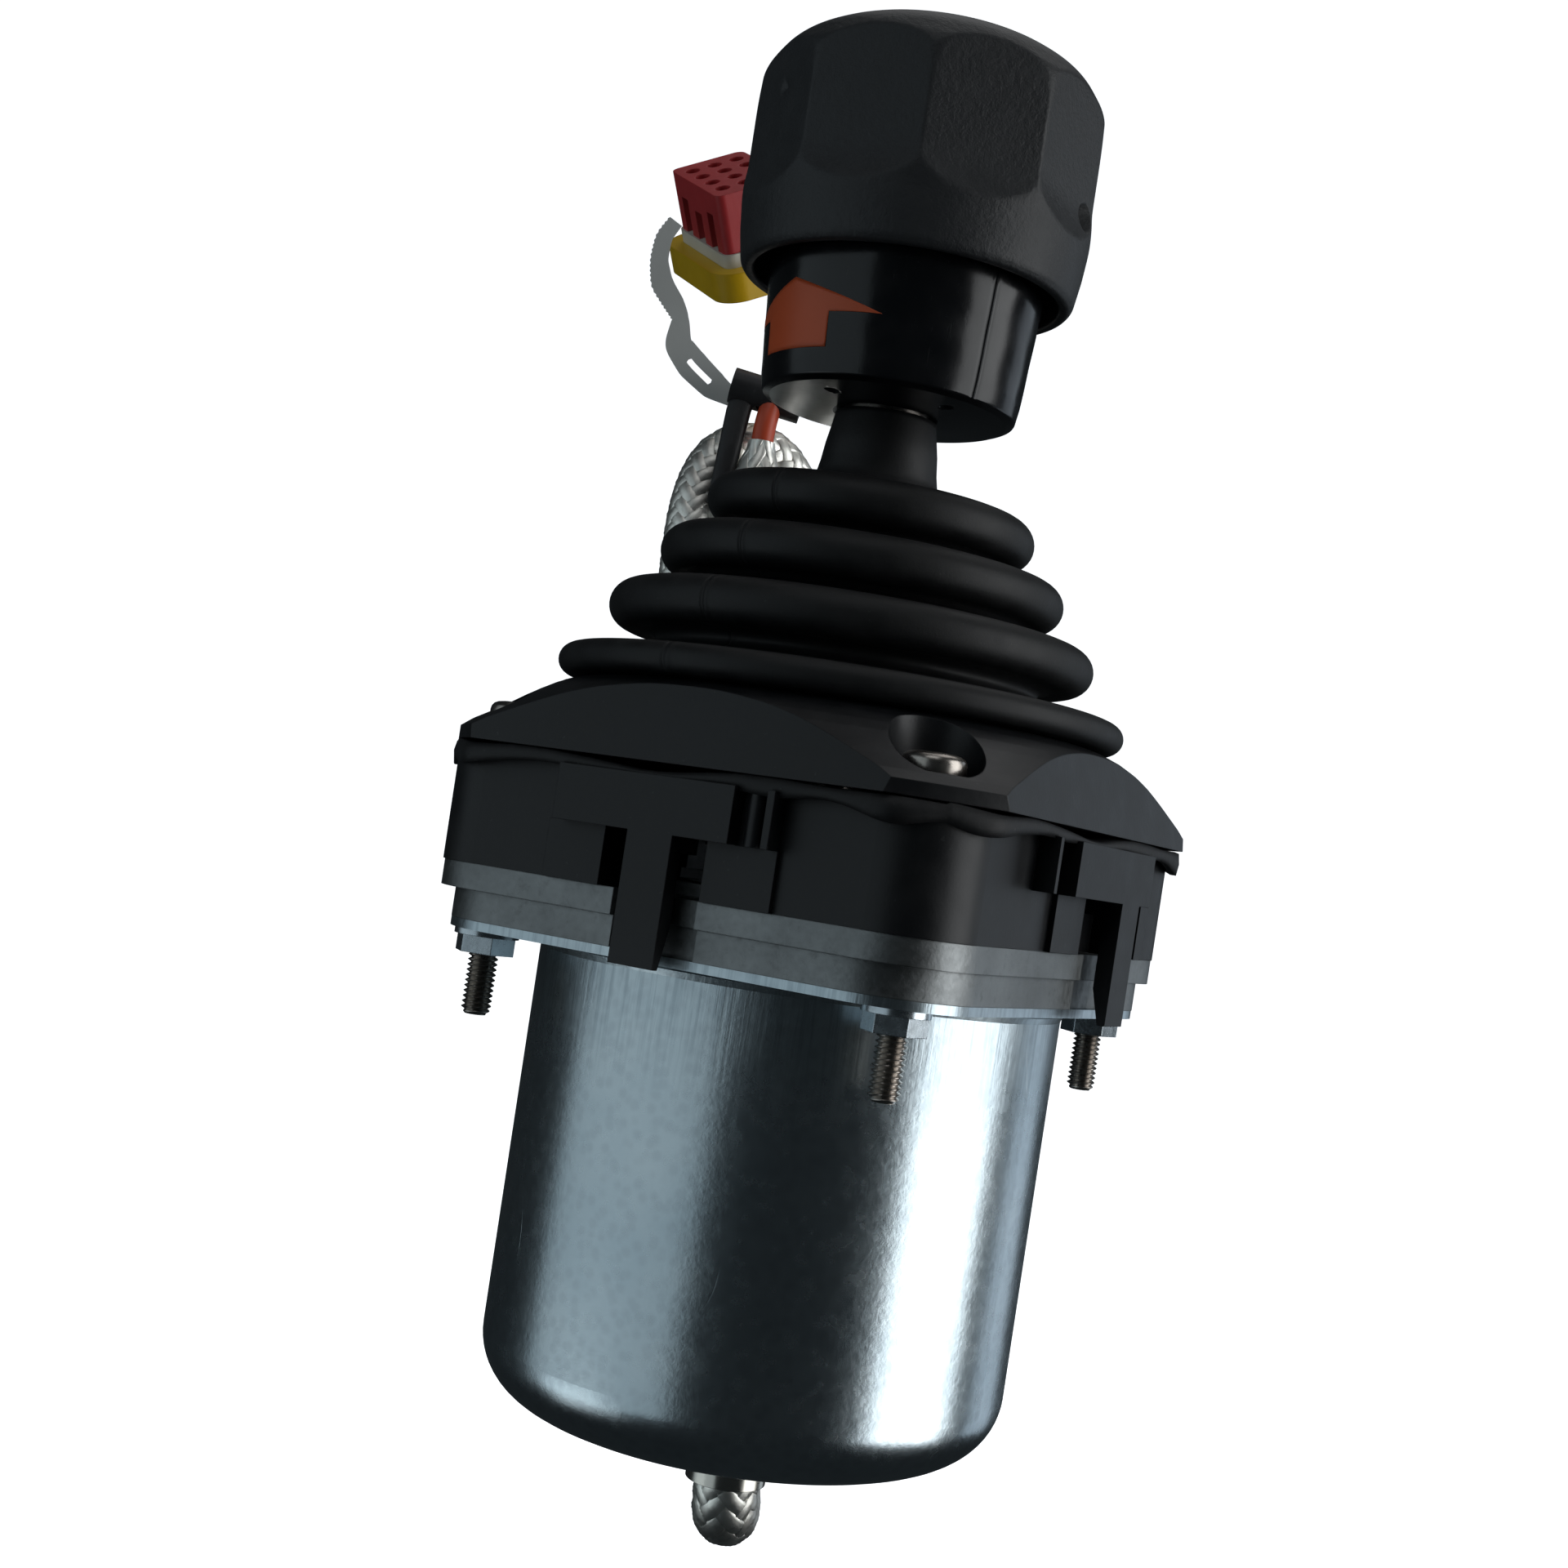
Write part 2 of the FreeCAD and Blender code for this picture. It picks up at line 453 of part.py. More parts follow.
# cable tie: strap, head and marking pad as one flexible piece
tie = [(-20.8, 53.4), (-24.0, 53.9), (-26.8, 56.2), (-29.6, 59.0), (-32.0, 60.6), (-31.6, 64.4), (-33.2, 66.4), (-35.2, 69.0), (-35.9, 71.8), (-35.7, 75.6), (-33.8, 78.6), (-32.2, 77.0), (-33.3, 74.6), (-33.3, 71.8), (-32.3, 69.0), (-30.2, 66.0), (-29.0, 63.6), (-28.4, 60.8), (-26.0, 59.6), (-23.0, 57.4), (-20.8, 55.6)]
parts["cable_tie"] = slab(tie, 67.0, 1.3)

# ---------------------------------------------------------------- connector on the leads
UZ = V(-0.26, -0.57, 0.78).normalize()          # mating direction, in the turned frame
UX = V(0.484, -0.776, -0.406)
UX = (UX - UZ * UX.dot(UZ)).normalize()         # along the long side
UY = UZ.cross(UX)
CONN = V(-30.6, 86.4, 100.4)


def placed(shape):
    """from the connector's own frame (mating face up) to its place behind the knob"""
    x, y, z, c = [V(*turned(*v)) for v in (UX, UY, UZ, CONN)]
    m = FreeCAD.Matrix(x.x, y.x, z.x, c.x, x.y, y.y, z.y, c.y, x.z, y.z, z.z, c.z, 0, 0, 0, 1)
    s = shape.copy()
    s.Placement = FreeCAD.Placement(m).multiply(s.Placement)
    return s


def rbox(x, y, z0, z1, r):
    s = box(-x / 2, x / 2, -y / 2, y / 2, z0, z1)
    return s.makeFillet(r, [e for e in s.Edges if abs(e.Vertexes[0].Point.z - e.Vertexes[1].Point.z) > 1e-6])


shell = fuse([rbox(23.0, 15.0, -5.2, 3.2, 2.0), rbox(16.6, 8.6, 3.2, 9.4, 1.0)])
parts["connector_shell"] = placed(shell)
lock = rbox(22.2, 14.2, 3.2, 13.6, 1.6).cut(rbox(17.0, 9.0, 3.0, 9.6, 0.9))
for ix in range(4):
    for iy in range(3):
        lock = lock.cut(cyl(1.35, 9.0, 15, -7.05 + 4.7 * ix, -4.3 + 4.3 * iy))
# slots in the long sides and one in each end
for x0, x1, z1 in ((-7.4, -4.6, 9.6), (-1.6, 1.6, 8.4), (4.6, 7.4, 9.6)):
    lock = lock.cut(box(x0, x1, -8, 8, 3.0, z1))
lock = lock.cut(box(-12, 12, -1.4, 1.4, 5.2, 9.4))
parts["connector_lock"] = placed(lock)
seal = rbox(29.0, 20.5, -4.4, 0.8, 5.0).cut(rbox(23.0, 15.0, -5, 2, 2.0))
parts["connector_seal"] = placed(seal)

# ---------------------------------------------------------------- write
for name, shape in parts.items():
    ok = shape.isValid()
    n = len(shape.Solids)
    if not ok or n == 0:
        print("PROBLEM", name, ok, n, shape.ShapeType)
    shape.exportStep("parts/%s.step" % name)
print(len(parts), "nodes")
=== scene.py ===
import math

import bmesh
import bpy
import numpy as np
from mathutils import Matrix, Vector


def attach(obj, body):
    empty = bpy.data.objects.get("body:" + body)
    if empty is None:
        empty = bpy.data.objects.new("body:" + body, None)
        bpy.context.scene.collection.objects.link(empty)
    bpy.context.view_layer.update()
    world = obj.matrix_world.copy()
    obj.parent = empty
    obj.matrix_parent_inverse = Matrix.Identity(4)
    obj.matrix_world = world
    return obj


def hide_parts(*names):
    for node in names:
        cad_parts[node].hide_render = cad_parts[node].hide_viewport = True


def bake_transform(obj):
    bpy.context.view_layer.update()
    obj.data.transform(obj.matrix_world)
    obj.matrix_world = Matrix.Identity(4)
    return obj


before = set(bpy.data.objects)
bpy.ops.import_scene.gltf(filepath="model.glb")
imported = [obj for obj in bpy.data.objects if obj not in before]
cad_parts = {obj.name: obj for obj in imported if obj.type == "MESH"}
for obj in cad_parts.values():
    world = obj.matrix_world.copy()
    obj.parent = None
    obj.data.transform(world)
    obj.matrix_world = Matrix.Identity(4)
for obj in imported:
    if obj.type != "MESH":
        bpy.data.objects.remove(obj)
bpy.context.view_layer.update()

scene = bpy.context.scene
MM = 0.001
VIEW = math.radians(29.5)
PIVOT_Z = -4.0


def turned(x, y, z):
    """mm in the frame turned with the camera (x to the right, y away from it) to metres in the row frame"""
    c, s = math.cos(VIEW), math.sin(VIEW)
    return ((x * c - y * s) * MM, (x * s + y * c) * MM, z * MM)


# ------------------------------------------------------------------ camera
cam_data = bpy.data.cameras.new("camera")
cam = bpy.data.objects.new("camera", cam_data)
scene.collection.objects.link(cam)
cam_data.sensor_width = 36.0
cam_data.lens = 2476.0 / 1920.0 * 36.0
cam_data.shift_x = -0.0226
cam_data.shift_y = 0.0472
cam_data.clip_start, cam_data.clip_end = 0.01, 20.0
ROLL = math.radians(8.65)
look = Vector(turned(0, 1000, 0)).normalized()
right0 = Vector(turned(1000, 0, 0)).normalized()
up0 = Vector((0, 0, 1))
cam_up = up0 * math.cos(ROLL) - right0 * math.sin(ROLL)
cam_right = right0 * math.cos(ROLL) + up0 * math.sin(ROLL)
eye = Vector(turned(0, -281.0, -7.0))
cam.matrix_world = Matrix((
    (cam_right.x, cam_up.x, -look.x, eye.x),
    (cam_right.y, cam_up.y, -look.y, eye.y),
    (cam_right.z, cam_up.z, -look.z, eye.z),
    (0, 0, 0, 1)))
scene.camera = cam


# ------------------------------------------------------------------ small helpers
def nd(nt, kind, inputs=None, **attrs):
    n = nt.nodes.new(kind)
    for k, v in attrs.items():
        setattr(n, k, v)
    for k, v in (inputs or {}).items():
        if isinstance(v, bpy.types.NodeSocket):
            nt.links.new(v, n.inputs[k])
        else:
            n.inputs[k].default_value = v
    return n


def math_node(nt, op, a, b=0.0, clamp=False):
    n = nt.nodes.new("ShaderNodeMath")
    n.operation = op
    n.use_clamp = clamp
    for i, v in enumerate((a, b)):
        if isinstance(v, bpy.types.NodeSocket):
            nt.links.new(v, n.inputs[i])
        else:
            n.inputs[i].default_value = v
    return n.outputs[0]


def ramp(nt, fac, stops):
    n = nt.nodes.new("ShaderNodeValToRGB")
    cr = n.color_ramp
    while len(cr.elements) < len(stops):
        cr.elements.new(0.5)
    for e, (p, c) in zip(cr.elements, stops):
        e.position = p
        e.color = (c, c, c, 1) if isinstance(c, (int, float)) else (*c, 1)
    nt.links.new(fac, n.inputs[0])
    return n.outputs[0]


def mix_color(nt, fac, a, b, blend="MIX"):
    n = nt.nodes.new("ShaderNodeMix")
    n.data_type = "RGBA"
    n.blend_type = blend
    for key, v in ((0, fac), (6, a), (7, b)):
        s = n.inputs[key]
        if isinstance(v, bpy.types.NodeSocket):
            nt.links.new(v, s)
        else:
            s.default_value = v if key == 0 else (*v, 1)
    return n.outputs[2]


def coords(nt, scale=(1, 1, 1)):
    t = nd(nt, "ShaderNodeTexCoord")
    if scale == (1, 1, 1):
        return t.outputs["Object"]
    return nd(nt, "ShaderNodeMapping", {"Vector": t.outputs["Object"], "Scale": scale}).outputs[0]


def noise_tex(nt, vec, scale, detail=3.0, rough=0.55, distortion=0.0):
    return nd(nt, "ShaderNodeTexNoise", {"Vector": vec, "Scale": scale, "Detail": detail, "Roughness": rough, "Distortion": distortion}).outputs[0]


def new_mat(name, metallic=0.0, ior=1.5, coat=0.0, coat_rough=0.1, sheen=0.0):
    m = bpy.data.materials.new(name)
    m.use_nodes = True
    nt = m.node_tree
    b = nt.nodes["Principled BSDF"]
    b.inputs["Metallic"].default_value = metallic
    b.inputs["IOR"].default_value = ior
    b.inputs["Coat Weight"].default_value = coat
    b.inputs["Coat Roughness"].default_value = coat_rough
    b.inputs["Sheen Weight"].default_value = sheen
    return m, nt, b


def plastic(name, color, rough, rough_var=0.08, grain=1500.0, grain_h=0.05, dust=0.0, dust_scale=900.0, bevel=0.0, coat=0.0, ior=1.5,
            fine=4200.0, blotch=0.18, painted_glint_streaks=0.0):
    m, nt, b = new_mat(name, 0.0, ior, coat)
    v = coords(nt)
    big = noise_tex(nt, v, 45.0, 4.0)
    mid = noise_tex(nt, v, 260.0, 4.0)
    gr = noise_tex(nt, v, grain, 2.5, 0.6)
    fi = noise_tex(nt, v, fine, 1.0)
    dark = tuple(c * (1 - blotch) for c in color)
    lite = tuple(min(1, c * (1 + blotch)) for c in color)
    col = mix_color(nt, ramp(nt, big, [(0.3, 0.0), (0.7, 1.0)]), dark, lite)
    if dust > 0:
        sp = noise_tex(nt, v, dust_scale, 2.0, 0.6)
        film = math_node(nt, "MULTIPLY", ramp(nt, mid, [(0.42, 0.0), (0.75, 1.0)]), 0.35 * dust)
        specks = math_node(nt, "MULTIPLY", ramp(nt, sp, [(0.70, 0.0), (0.76, 1.0)]), dust)
        col = mix_color(nt, math_node(nt, "MAXIMUM", film, specks), col, (0.16, 0.16, 0.16))
    # painted highlight: lighter vertical streaks in the colour stand in for the window's glints on the lift ring
    if painted_glint_streaks > 0:
        sv = coords(nt, (1, 1, 0.12))
        sn = noise_tex(nt, sv, 1400.0, 2.0, 0.7)
        sm = math_node(nt, "MULTIPLY", ramp(nt, sn, [(0.68, 0.0), (0.78, 1.0)]), painted_glint_streaks)
        col = mix_color(nt, sm, col, (0.2, 0.2, 0.2))
    nt.links.new(col, b.inputs["Base Color"])
    r = math_node(nt, "ADD", math_node(nt, "MULTIPLY", math_node(nt, "SUBTRACT", mid, 0.5), rough_var * 3), rough, True)
    nt.links.new(r, b.inputs["Roughness"])
    hgt = math_node(nt, "ADD", gr, math_node(nt, "MULTIPLY", fi, 0.35))
    bump = nd(nt, "ShaderNodeBump", {"Height": hgt, "Strength": 1.0, "Distance": grain_h * MM})
    if bevel > 0:
        bv = nd(nt, "ShaderNodeBevel", {"Radius": bevel * MM}, samples=4)
        nt.links.new(bv.outputs[0], bump.inputs["Normal"])
    nt.links.new(bump.outputs[0], b.inputs["Normal"])
    return m


def metal(name, color, rough, rough_var=0.06, scale=(1, 1, 1), nscale=900.0, bump_h=0.01, blotch=0.12, bevel=0.0, dark=None):
    m, nt, b = new_mat(name, 1.0)
    v = coords(nt, scale)
    v1 = coords(nt)
    n1 = noise_tex(nt, v, nscale, 3.0, 0.6)
    n2 = noise_tex(nt, v1, 90.0, 3.0)
    col = mix_color(nt, ramp(nt, n2, [(0.3, 0.0), (0.72, 1.0)]), tuple(c * (1 - blotch) for c in color), tuple(min(1, c * (1 + blotch)) for c in color))
    if dark is not None:
        sp = noise_tex(nt, v1, 480.0, 4.0, 0.7)
        col = mix_color(nt, math_node(nt, "MULTIPLY", ramp(nt, sp, [(0.56, 0.0), (0.72, 1.0)]), 0.5), col, dark)
    nt.links.new(col, b.inputs["Base Color"])
    r = math_node(nt, "ADD", math_node(nt, "MULTIPLY", math_node(nt, "SUBTRACT", n1, 0.5), rough_var * 3), rough, True)
    nt.links.new(r, b.inputs["Roughness"])
    bump = nd(nt, "ShaderNodeBump", {"Height": n1, "Strength": 1.0, "Distance": bump_h * MM})
    if bevel > 0:
        bv = nd(nt, "ShaderNodeBevel", {"Radius": bevel * MM}, samples=4)
        nt.links.new(bv.outputs[0], bump.inputs["Normal"])
    nt.links.new(bump.outputs[0], b.inputs["Normal"])
    return m


def zinc_can(name):
    """bright zinc on deep-drawn steel: fine orange peel, draw streaks under the flange, faint spangle, hair scratches"""
    m, nt, b = new_mat(name, 1.0)
    v = coords(nt)
    sep = nd(nt, "ShaderNodeSeparateXYZ", {"Vector": v})
    z = sep.outputs[2]
    peel = noise_tex(nt, v, 1250.0, 2.5, 0.6)
    peel2 = noise_tex(nt, v, 520.0, 2.0, 0.5)
    cloud = noise_tex(nt, v, 38.0, 4.0, 0.6)
    spangle = nd(nt, "ShaderNodeTexVoronoi", {"Vector": v, "Scale": 620.0}).outputs["Distance"]
    sv = coords(nt, (1, 1, 0.045))
    streak = noise_tex(nt, sv, 1500.0, 3.0, 0.65)
    # near the flange, z from -45 mm up to -23 mm
    top = nd(nt, "ShaderNodeMapRange", {"Value": z, "From Min": -0.040, "From Max": -0.026, "To Min": 0.0, "To Max": 1.0}).outputs[0]
    low = nd(nt, "ShaderNodeMapRange", {"Value": z, "From Min": -0.079, "From Max": -0.084, "To Min": 0.0, "To Max": 1.0}).outputs[0]
    base = mix_color(nt, ramp(nt, cloud, [(0.3, 0.0), (0.7, 1.0)]), (0.50, 0.585, 0.63), (0.63, 0.70, 0.73))
    base = mix_color(nt, math_node(nt, "MULTIPLY", ramp(nt, spangle, [(0.25, 1.0), (0.6, 0.0)]), 0.25), base, (0.40, 0.45, 0.49))
    base = mix_color(nt, math_node(nt, "MULTIPLY", math_node(nt, "MULTIPLY", top, ramp(nt, streak, [(0.45, 0.0), (0.62, 1.0)])), 0.45), base, (0.30, 0.36, 0.40))
    # hair scratches: narrow contours of a stretched noise, only in places
    sc = noise_tex(nt, coords(nt, (1, 1, 0.5)), 60.0, 0.0, 0.5, 0.6)
    line = ramp(nt, math_node(nt, "ABSOLUTE", math_node(nt, "SUBTRACT", sc, 0.56)), [(0.0, 1.0), (0.0016, 0.0)])
    where = ramp(nt, noise_tex(nt, v, 26.0, 1.0), [(0.56, 0.0), (0.60, 1.0)])
    scratch = math_node(nt, "MULTIPLY", line, where)
    base = mix_color(nt, math_node(nt, "MULTIPLY", scratch, 0.7), base, (0.86, 0.9, 0.92))
    pits = ramp(nt, noise_tex(nt, v, 330.0, 3.0, 0.75), [(0.735, 0.0), (0.76, 1.0)])
    base = mix_color(nt, math_node(nt, "MULTIPLY", pits, 0.18), base, (0.18, 0.2, 0.22))
    nt.links.new(base, b.inputs["Base Color"])
    r = math_node(nt, "ADD", math_node(nt, "MULTIPLY", math_node(nt, "SUBTRACT", peel2, 0.5), 0.10), 0.26)
    r = math_node(nt, "ADD", r, math_node(nt, "MULTIPLY", top, 0.05))
    r = math_node(nt, "SUBTRACT", r, math_node(nt, "MULTIPLY", low, 0.05), True)
    nt.links.new(r, b.inputs["Roughness"])
    h = math_node(nt, "ADD", math_node(nt, "MULTIPLY", peel, 0.8), math_node(nt, "MULTIPLY", peel2, 0.38))
    h = math_node(nt, "ADD", h, math_node(nt, "MULTIPLY", math_node(nt, "MULTIPLY", streak, top), 1.4))
    h = math_node(nt, "SUBTRACT", h, math_node(nt, "MULTIPLY", scratch, 0.8))
    bump = nd(nt, "ShaderNodeBump", {"Height": h, "Strength": 1.0, "Distance": 0.024 * MM})
    nt.links.new(bump.outputs[0], b.inputs["Normal"])
    return m


M = {
    "knob": plastic("knob_grain", (0.031, 0.033, 0.036), 0.50, 0.06, 1150.0, 0.095, dust=0.10, dust_scale=1500.0, fine=3600.0),
    "ring": plastic("ring_gloss", (0.008, 0.009, 0.011), 0.20, 0.07, 700.0, 0.012, dust=0.08, dust_scale=1700.0, ior=1.52, painted_glint_streaks=0.10),
    "boot": plastic("boot_rubber", (0.009, 0.0095, 0.0105), 0.55, 0.08, 1900.0, 0.022, dust=0.13, dust_scale=1700.0, blotch=0.25),
    "cover": plastic("cover_satin", (0.010, 0.011, 0.013), 0.40, 0.06, 1800.0, 0.014, dust=0.14, dust_scale=1300.0, bevel=0.22),
    "gasket": plastic("gasket_rubber", (0.010, 0.0105, 0.012), 0.56, 0.08, 900.0, 0.030, dust=0.25, dust_scale=1200.0),
    "housing": plastic("housing_satin", (0.009, 0.010, 0.012), 0.42, 0.06, 1700.0, 0.012, dust=0.12, dust_scale=1100.0, bevel=0.18),
    "black": plastic("moulded_black", (0.02, 0.02, 0.02), 0.45, 0.06, 1500.0, 0.01),
    "sleeve": plastic("shrink_sleeve", (0.022, 0.022, 0.024), 0.46, 0.08, 800.0, 0.05, dust=0.15),
    "red": plastic("lead_red", (0.55, 0.09, 0.04), 0.38, 0.05, 900.0, 0.01),
    "tie": plastic("tie_nylon", (0.60, 0.60, 0.58), 0.40, 0.05, 1200.0, 0.012, blotch=0.06, bevel=0.2),
    "natural": plastic("connector_nylon", (0.66, 0.64, 0.58), 0.44, 0.05, 1500.0, 0.015, blotch=0.06, bevel=0.25),
    "conn_red": plastic("connector_red", (0.5, 0.045, 0.05), 0.42, 0.06, 1200.0, 0.02, blotch=0.12, bevel=0.25),
    "yellow": plastic("seal_yellow", (0.75, 0.48, 0.012), 0.36, 0.05, 900.0, 0.02, blotch=0.10, bevel=0.4),
    "board": plastic("solder_mask", (0.012, 0.09, 0.035), 0.35, 0.05, 1500.0, 0.006),
    "green": plastic("terminal_green", (0.03, 0.2, 0.07), 0.42, 0.05, 1500.0, 0.006),
    "orange": plastic("decal_orange", (0.62, 0.115, 0.035), 0.40, 0.05, 1400.0, 0.006, blotch=0.05),
    "can": zinc_can("zinc_can"),
    "cast": metal("die_cast", (0.25, 0.262, 0.265), 0.46, 0.10, (1, 1, 1), 1000.0, 0.05, 0.16, 0.22, (0.16, 0.165, 0.165)),
    "zinc": metal("zinc_bright", (0.60, 0.66, 0.70), 0.26, 0.06, (1, 1, 1), 900.0, 0.012, 0.10, 0.18, (0.42, 0.45, 0.46)),
    "steel": metal("stainless", (0.40, 0.37, 0.34), 0.30, 0.07, (1, 1, 1), 1600.0, 0.010, 0.12, 0.0, (0.27, 0.25, 0.23)),
    "nickel": metal("nickel", (0.62, 0.60, 0.55), 0.22, 0.05, (1, 1, 0.1), 1200.0, 0.006, 0.08, 0.15),
    "brass": metal("brass_bush", (0.55, 0.40, 0.20), 0.32, 0.06, (1, 1, 0.1), 1200.0, 0.006, 0.08, 0.12),
    "spring": metal("spring_wire", (0.42, 0.42, 0.44), 0.28, 0.05, (1, 1, 1), 1200.0, 0.006, 0.08),
    "braid": metal("tinned_braid", (0.88, 0.85, 0.80), 0.45, 0.09, (1, 1, 1), 1500.0, 0.02, 0.18, 0.0, (0.42, 0.40, 0.36)),
    "core": plastic("braid_gaps", (0.035, 0.032, 0.028), 0.6, 0.05, 1500.0, 0.02),
}


def make(name, verts, faces, mat, body, smooth=True, replaces=()):
    me = bpy.data.meshes.new(name)
    me.from_pydata([tuple(v) for v in verts], [], faces)
    me.validate()
    me.update()
    o = bpy.data.objects.new(name, me)
    scene.collection.objects.link(o)
    me.materials.append(M[mat])
    me.polygons.foreach_set("use_smooth", [smooth] * len(me.polygons))
    if body:
        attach(o, body)
    if replaces:
        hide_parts(*replaces)
    return o


def fillet(points, n=6):
    """(r, z, radius) corners rounded with arcs"""
    out = []
    for i, p in enumerate(points):
        if len(p) < 3 or p[2] <= 0 or i in (0, len(points) - 1):
            out.append((p[0], p[1]))
            continue
        P = np.array(p[:2], float)
        A, B = np.array(points[i - 1][:2], float), np.array(points[i + 1][:2], float)
        a, b = A - P, B - P
        la, lb = np.linalg.norm(a), np.linalg.norm(b)
        a, b = a / la, b / lb
        half = math.acos(max(-1, min(1, float(a @ b)))) / 2
        cut = min(p[2] / math.tan(half), 0.49 * la, 0.49 * lb)
        rad = cut * math.tan(half)
        c = P + (a + b) / np.linalg.norm(a + b) * (rad / math.sin(half))
        s, e = P + a * cut - c, P + b * cut - c
        a0, a1 = math.atan2(s[1], s[0]), math.atan2(e[1], e[0])
        d = (a1 - a0 + math.pi) % (2 * math.pi) - math.pi
        for k in range(n + 1):
            t = a0 + d * k / n
            out.append((c[0] + rad * math.cos(t), c[1] + rad * math.sin(t)))
    return out


def dense(points, step):
    out = [points[0]]
    for a, b in zip(points, points[1:]):
        n = max(1, int(math.ceil(math.dist(a, b) / step)))
        for k in range(1, n + 1):
            out.append((a[0] + (b[0] - a[0]) * k / n, a[1] + (b[1] - a[1]) * k / n))
    return out


def revolve(prof, thetas, shape=None, closed=False):
    """prof: (r, z) in mm; thetas in radians. shape(r, z, theta) may move a ring's points and works on arrays."""
    P = np.array(prof, float)
    T = np.array(thetas, float)
    n, m = len(P), len(T)
    R = np.repeat(P[:, :1], m, 1)
    Z = np.repeat(P[:, 1:], m, 1)
    TH = np.repeat(T[None, :], n, 0)
    dx = dy = 0.0
    if shape is not None:
        R, Z, dx, dy = shape(R, Z, TH)
    X = (R * np.cos(TH) + dx) * MM
    Y = (R * np.sin(TH) + dy) * MM
    verts = np.stack([X, Y, Z * MM], -1).reshape(-1, 3)
    faces = []
    rows = n if closed else n - 1
    for i in range(rows):
        a, b = i * m, ((i + 1) % n) * m
        for j in range(m):
            k = (j + 1) % m
            faces.append((a + j, a + k, b + k, b + j))
    return verts, faces


def weld(o, dist=1e-6):
    bm = bmesh.new()
    bm.from_mesh(o.data)
    bmesh.ops.remove_doubles(bm, verts=bm.verts, dist=dist)
    bmesh.ops.dissolve_degenerate(bm, edges=bm.edges, dist=1e-8)
    bmesh.ops.recalc_face_normals(bm, faces=bm.faces)
    bm.to_mesh(o.data)
    bm.free()
    return o


def ring_thetas(n, fine=(), width=0.03, m=24):
    t = list(np.linspace(0, 2 * math.pi, n, endpoint=False))
    for c in fine:
        t += list(c + np.linspace(-width, width, m))
    t = np.sort(np.mod(np.array(t), 2 * math.pi))
    keep = np.concatenate([[True], np.diff(t) > 1e-4])
    return t[keep]


def cut_with(o, cutter):
    mod = o.modifiers.new("cut", "BOOLEAN")
    mod.operation = "DIFFERENCE"
    mod.solver = "EXACT"
    mod.object = cutter
    dg = bpy.context.evaluated_depsgraph_get()
    me = bpy.data.meshes.new_from_object(o.evaluated_get(dg))
    o.modifiers.remove(mod)
    old = o.data
    o.data = me
    bpy.data.meshes.remove(old)
    bpy.data.objects.remove(cutter)


def cutter_cyl(p, q, r, n=32):
    p, q = Vector(p), Vector(q)
    d = (q - p)
    me = bpy.data.meshes.new("cutter")
    bm = bmesh.new()
    bmesh.ops.create_cone(bm, cap_ends=True, segments=n, radius1=r, radius2=r, depth=d.length)
    bm.transform(Matrix.Translation((p + q) / 2) @ d.to_track_quat("Z", "Y").to_matrix().to_4x4())
    bm.to_mesh(me)
    bm.free()
    o = bpy.data.objects.new("cutter", me)
    scene.collection.objects.link(o)
    return o


def polar(phi, r, z):
    """phi: degrees to the right of the camera's side, seen from the axis"""
    a = -math.pi / 2 + VIEW + math.radians(phi)
    return (r * math.cos(a), r * math.sin(a), z)


def ang(phi):
    return -math.pi / 2 + VIEW + math.radians(phi)


# ------------------------------------------------------------------ the lead
CABLE = [
    (0, 0, -72.0), (0, 0, -97.4), (1.2, 9.0, -102.6), (0.8, 22.5, -101.0), (-7.0, 36.0, -95.4),
    (-18.6, 45.0, -83.0), (-26.4, 49.8, -64.0), (-28.4, 51.6, -34.0), (-27.8, 54.6, 2.0), (-29.4, 60.4, 30.0),
    (-30.4, 66.0, 56.0), (-21.6, 71.0, 63.2), (-12.6, 75.0, 56.0), (-12.9, 74.6, 26.0),
    (-13.2, 74.8, -1.0), (-16.6, 67.6, -5.8), (-20.2, 60.4, -1.0), (-20.3, 60.6, 20.0), (-20.2, 61.6, 50.0),
]
LEADS = [(-20.2, 61.6, 61.0), (-20.2, 61.6, 67.0), (-17.6, 67.0, 73.6), (-15.0, 80.0, 77.0), (-17.0, 90.0, 80.5), (-19.9, 91.1, 89.5), (-22.1, 86.2, 96.1)]


def nurbs(name, points, bevel):
    cu = bpy.data.curves.new(name, "CURVE")
    cu.dimensions = "3D"
    sp = cu.splines.new("NURBS")
    sp.points.add(len(points) - 1)
    for q, p in zip(sp.points, points):
        q.co = (*turned(*p), 1.0)
    sp.order_u = 3
    sp.use_endpoint_u = True
    sp.resolution_u = 16
    cu.resolution_u = 16
    cu.bevel_depth = 0.0
    bare = bpy.data.objects.new(name + "_line", cu)
    me = bpy.data.meshes.new_from_object(bare)
    line = np.array([v.co for v in me.vertices], float)
    bpy.data.meshes.remove(me)
    bpy.data.objects.remove(bare)
    cu.bevel_depth = bevel * MM
    cu.bevel_resolution = 5
    cu.use_fill_caps = True
    o = bpy.data.objects.new(name, cu)
    scene.collection.objects.link(o)
    return o, line


def length_of(line):
    return float(np.linalg.norm(np.diff(line, axis=0), axis=1).sum())


def resample(line, step):
    along = np.concatenate([[0], np.cumsum(np.linalg.norm(np.diff(line, axis=0), axis=1))])
    at = np.linspace(0, along[-1], max(2, int(along[-1] / step) + 1))
    return np.stack([np.interp(at, along, line[:, k]) for k in range(3)], 1), at


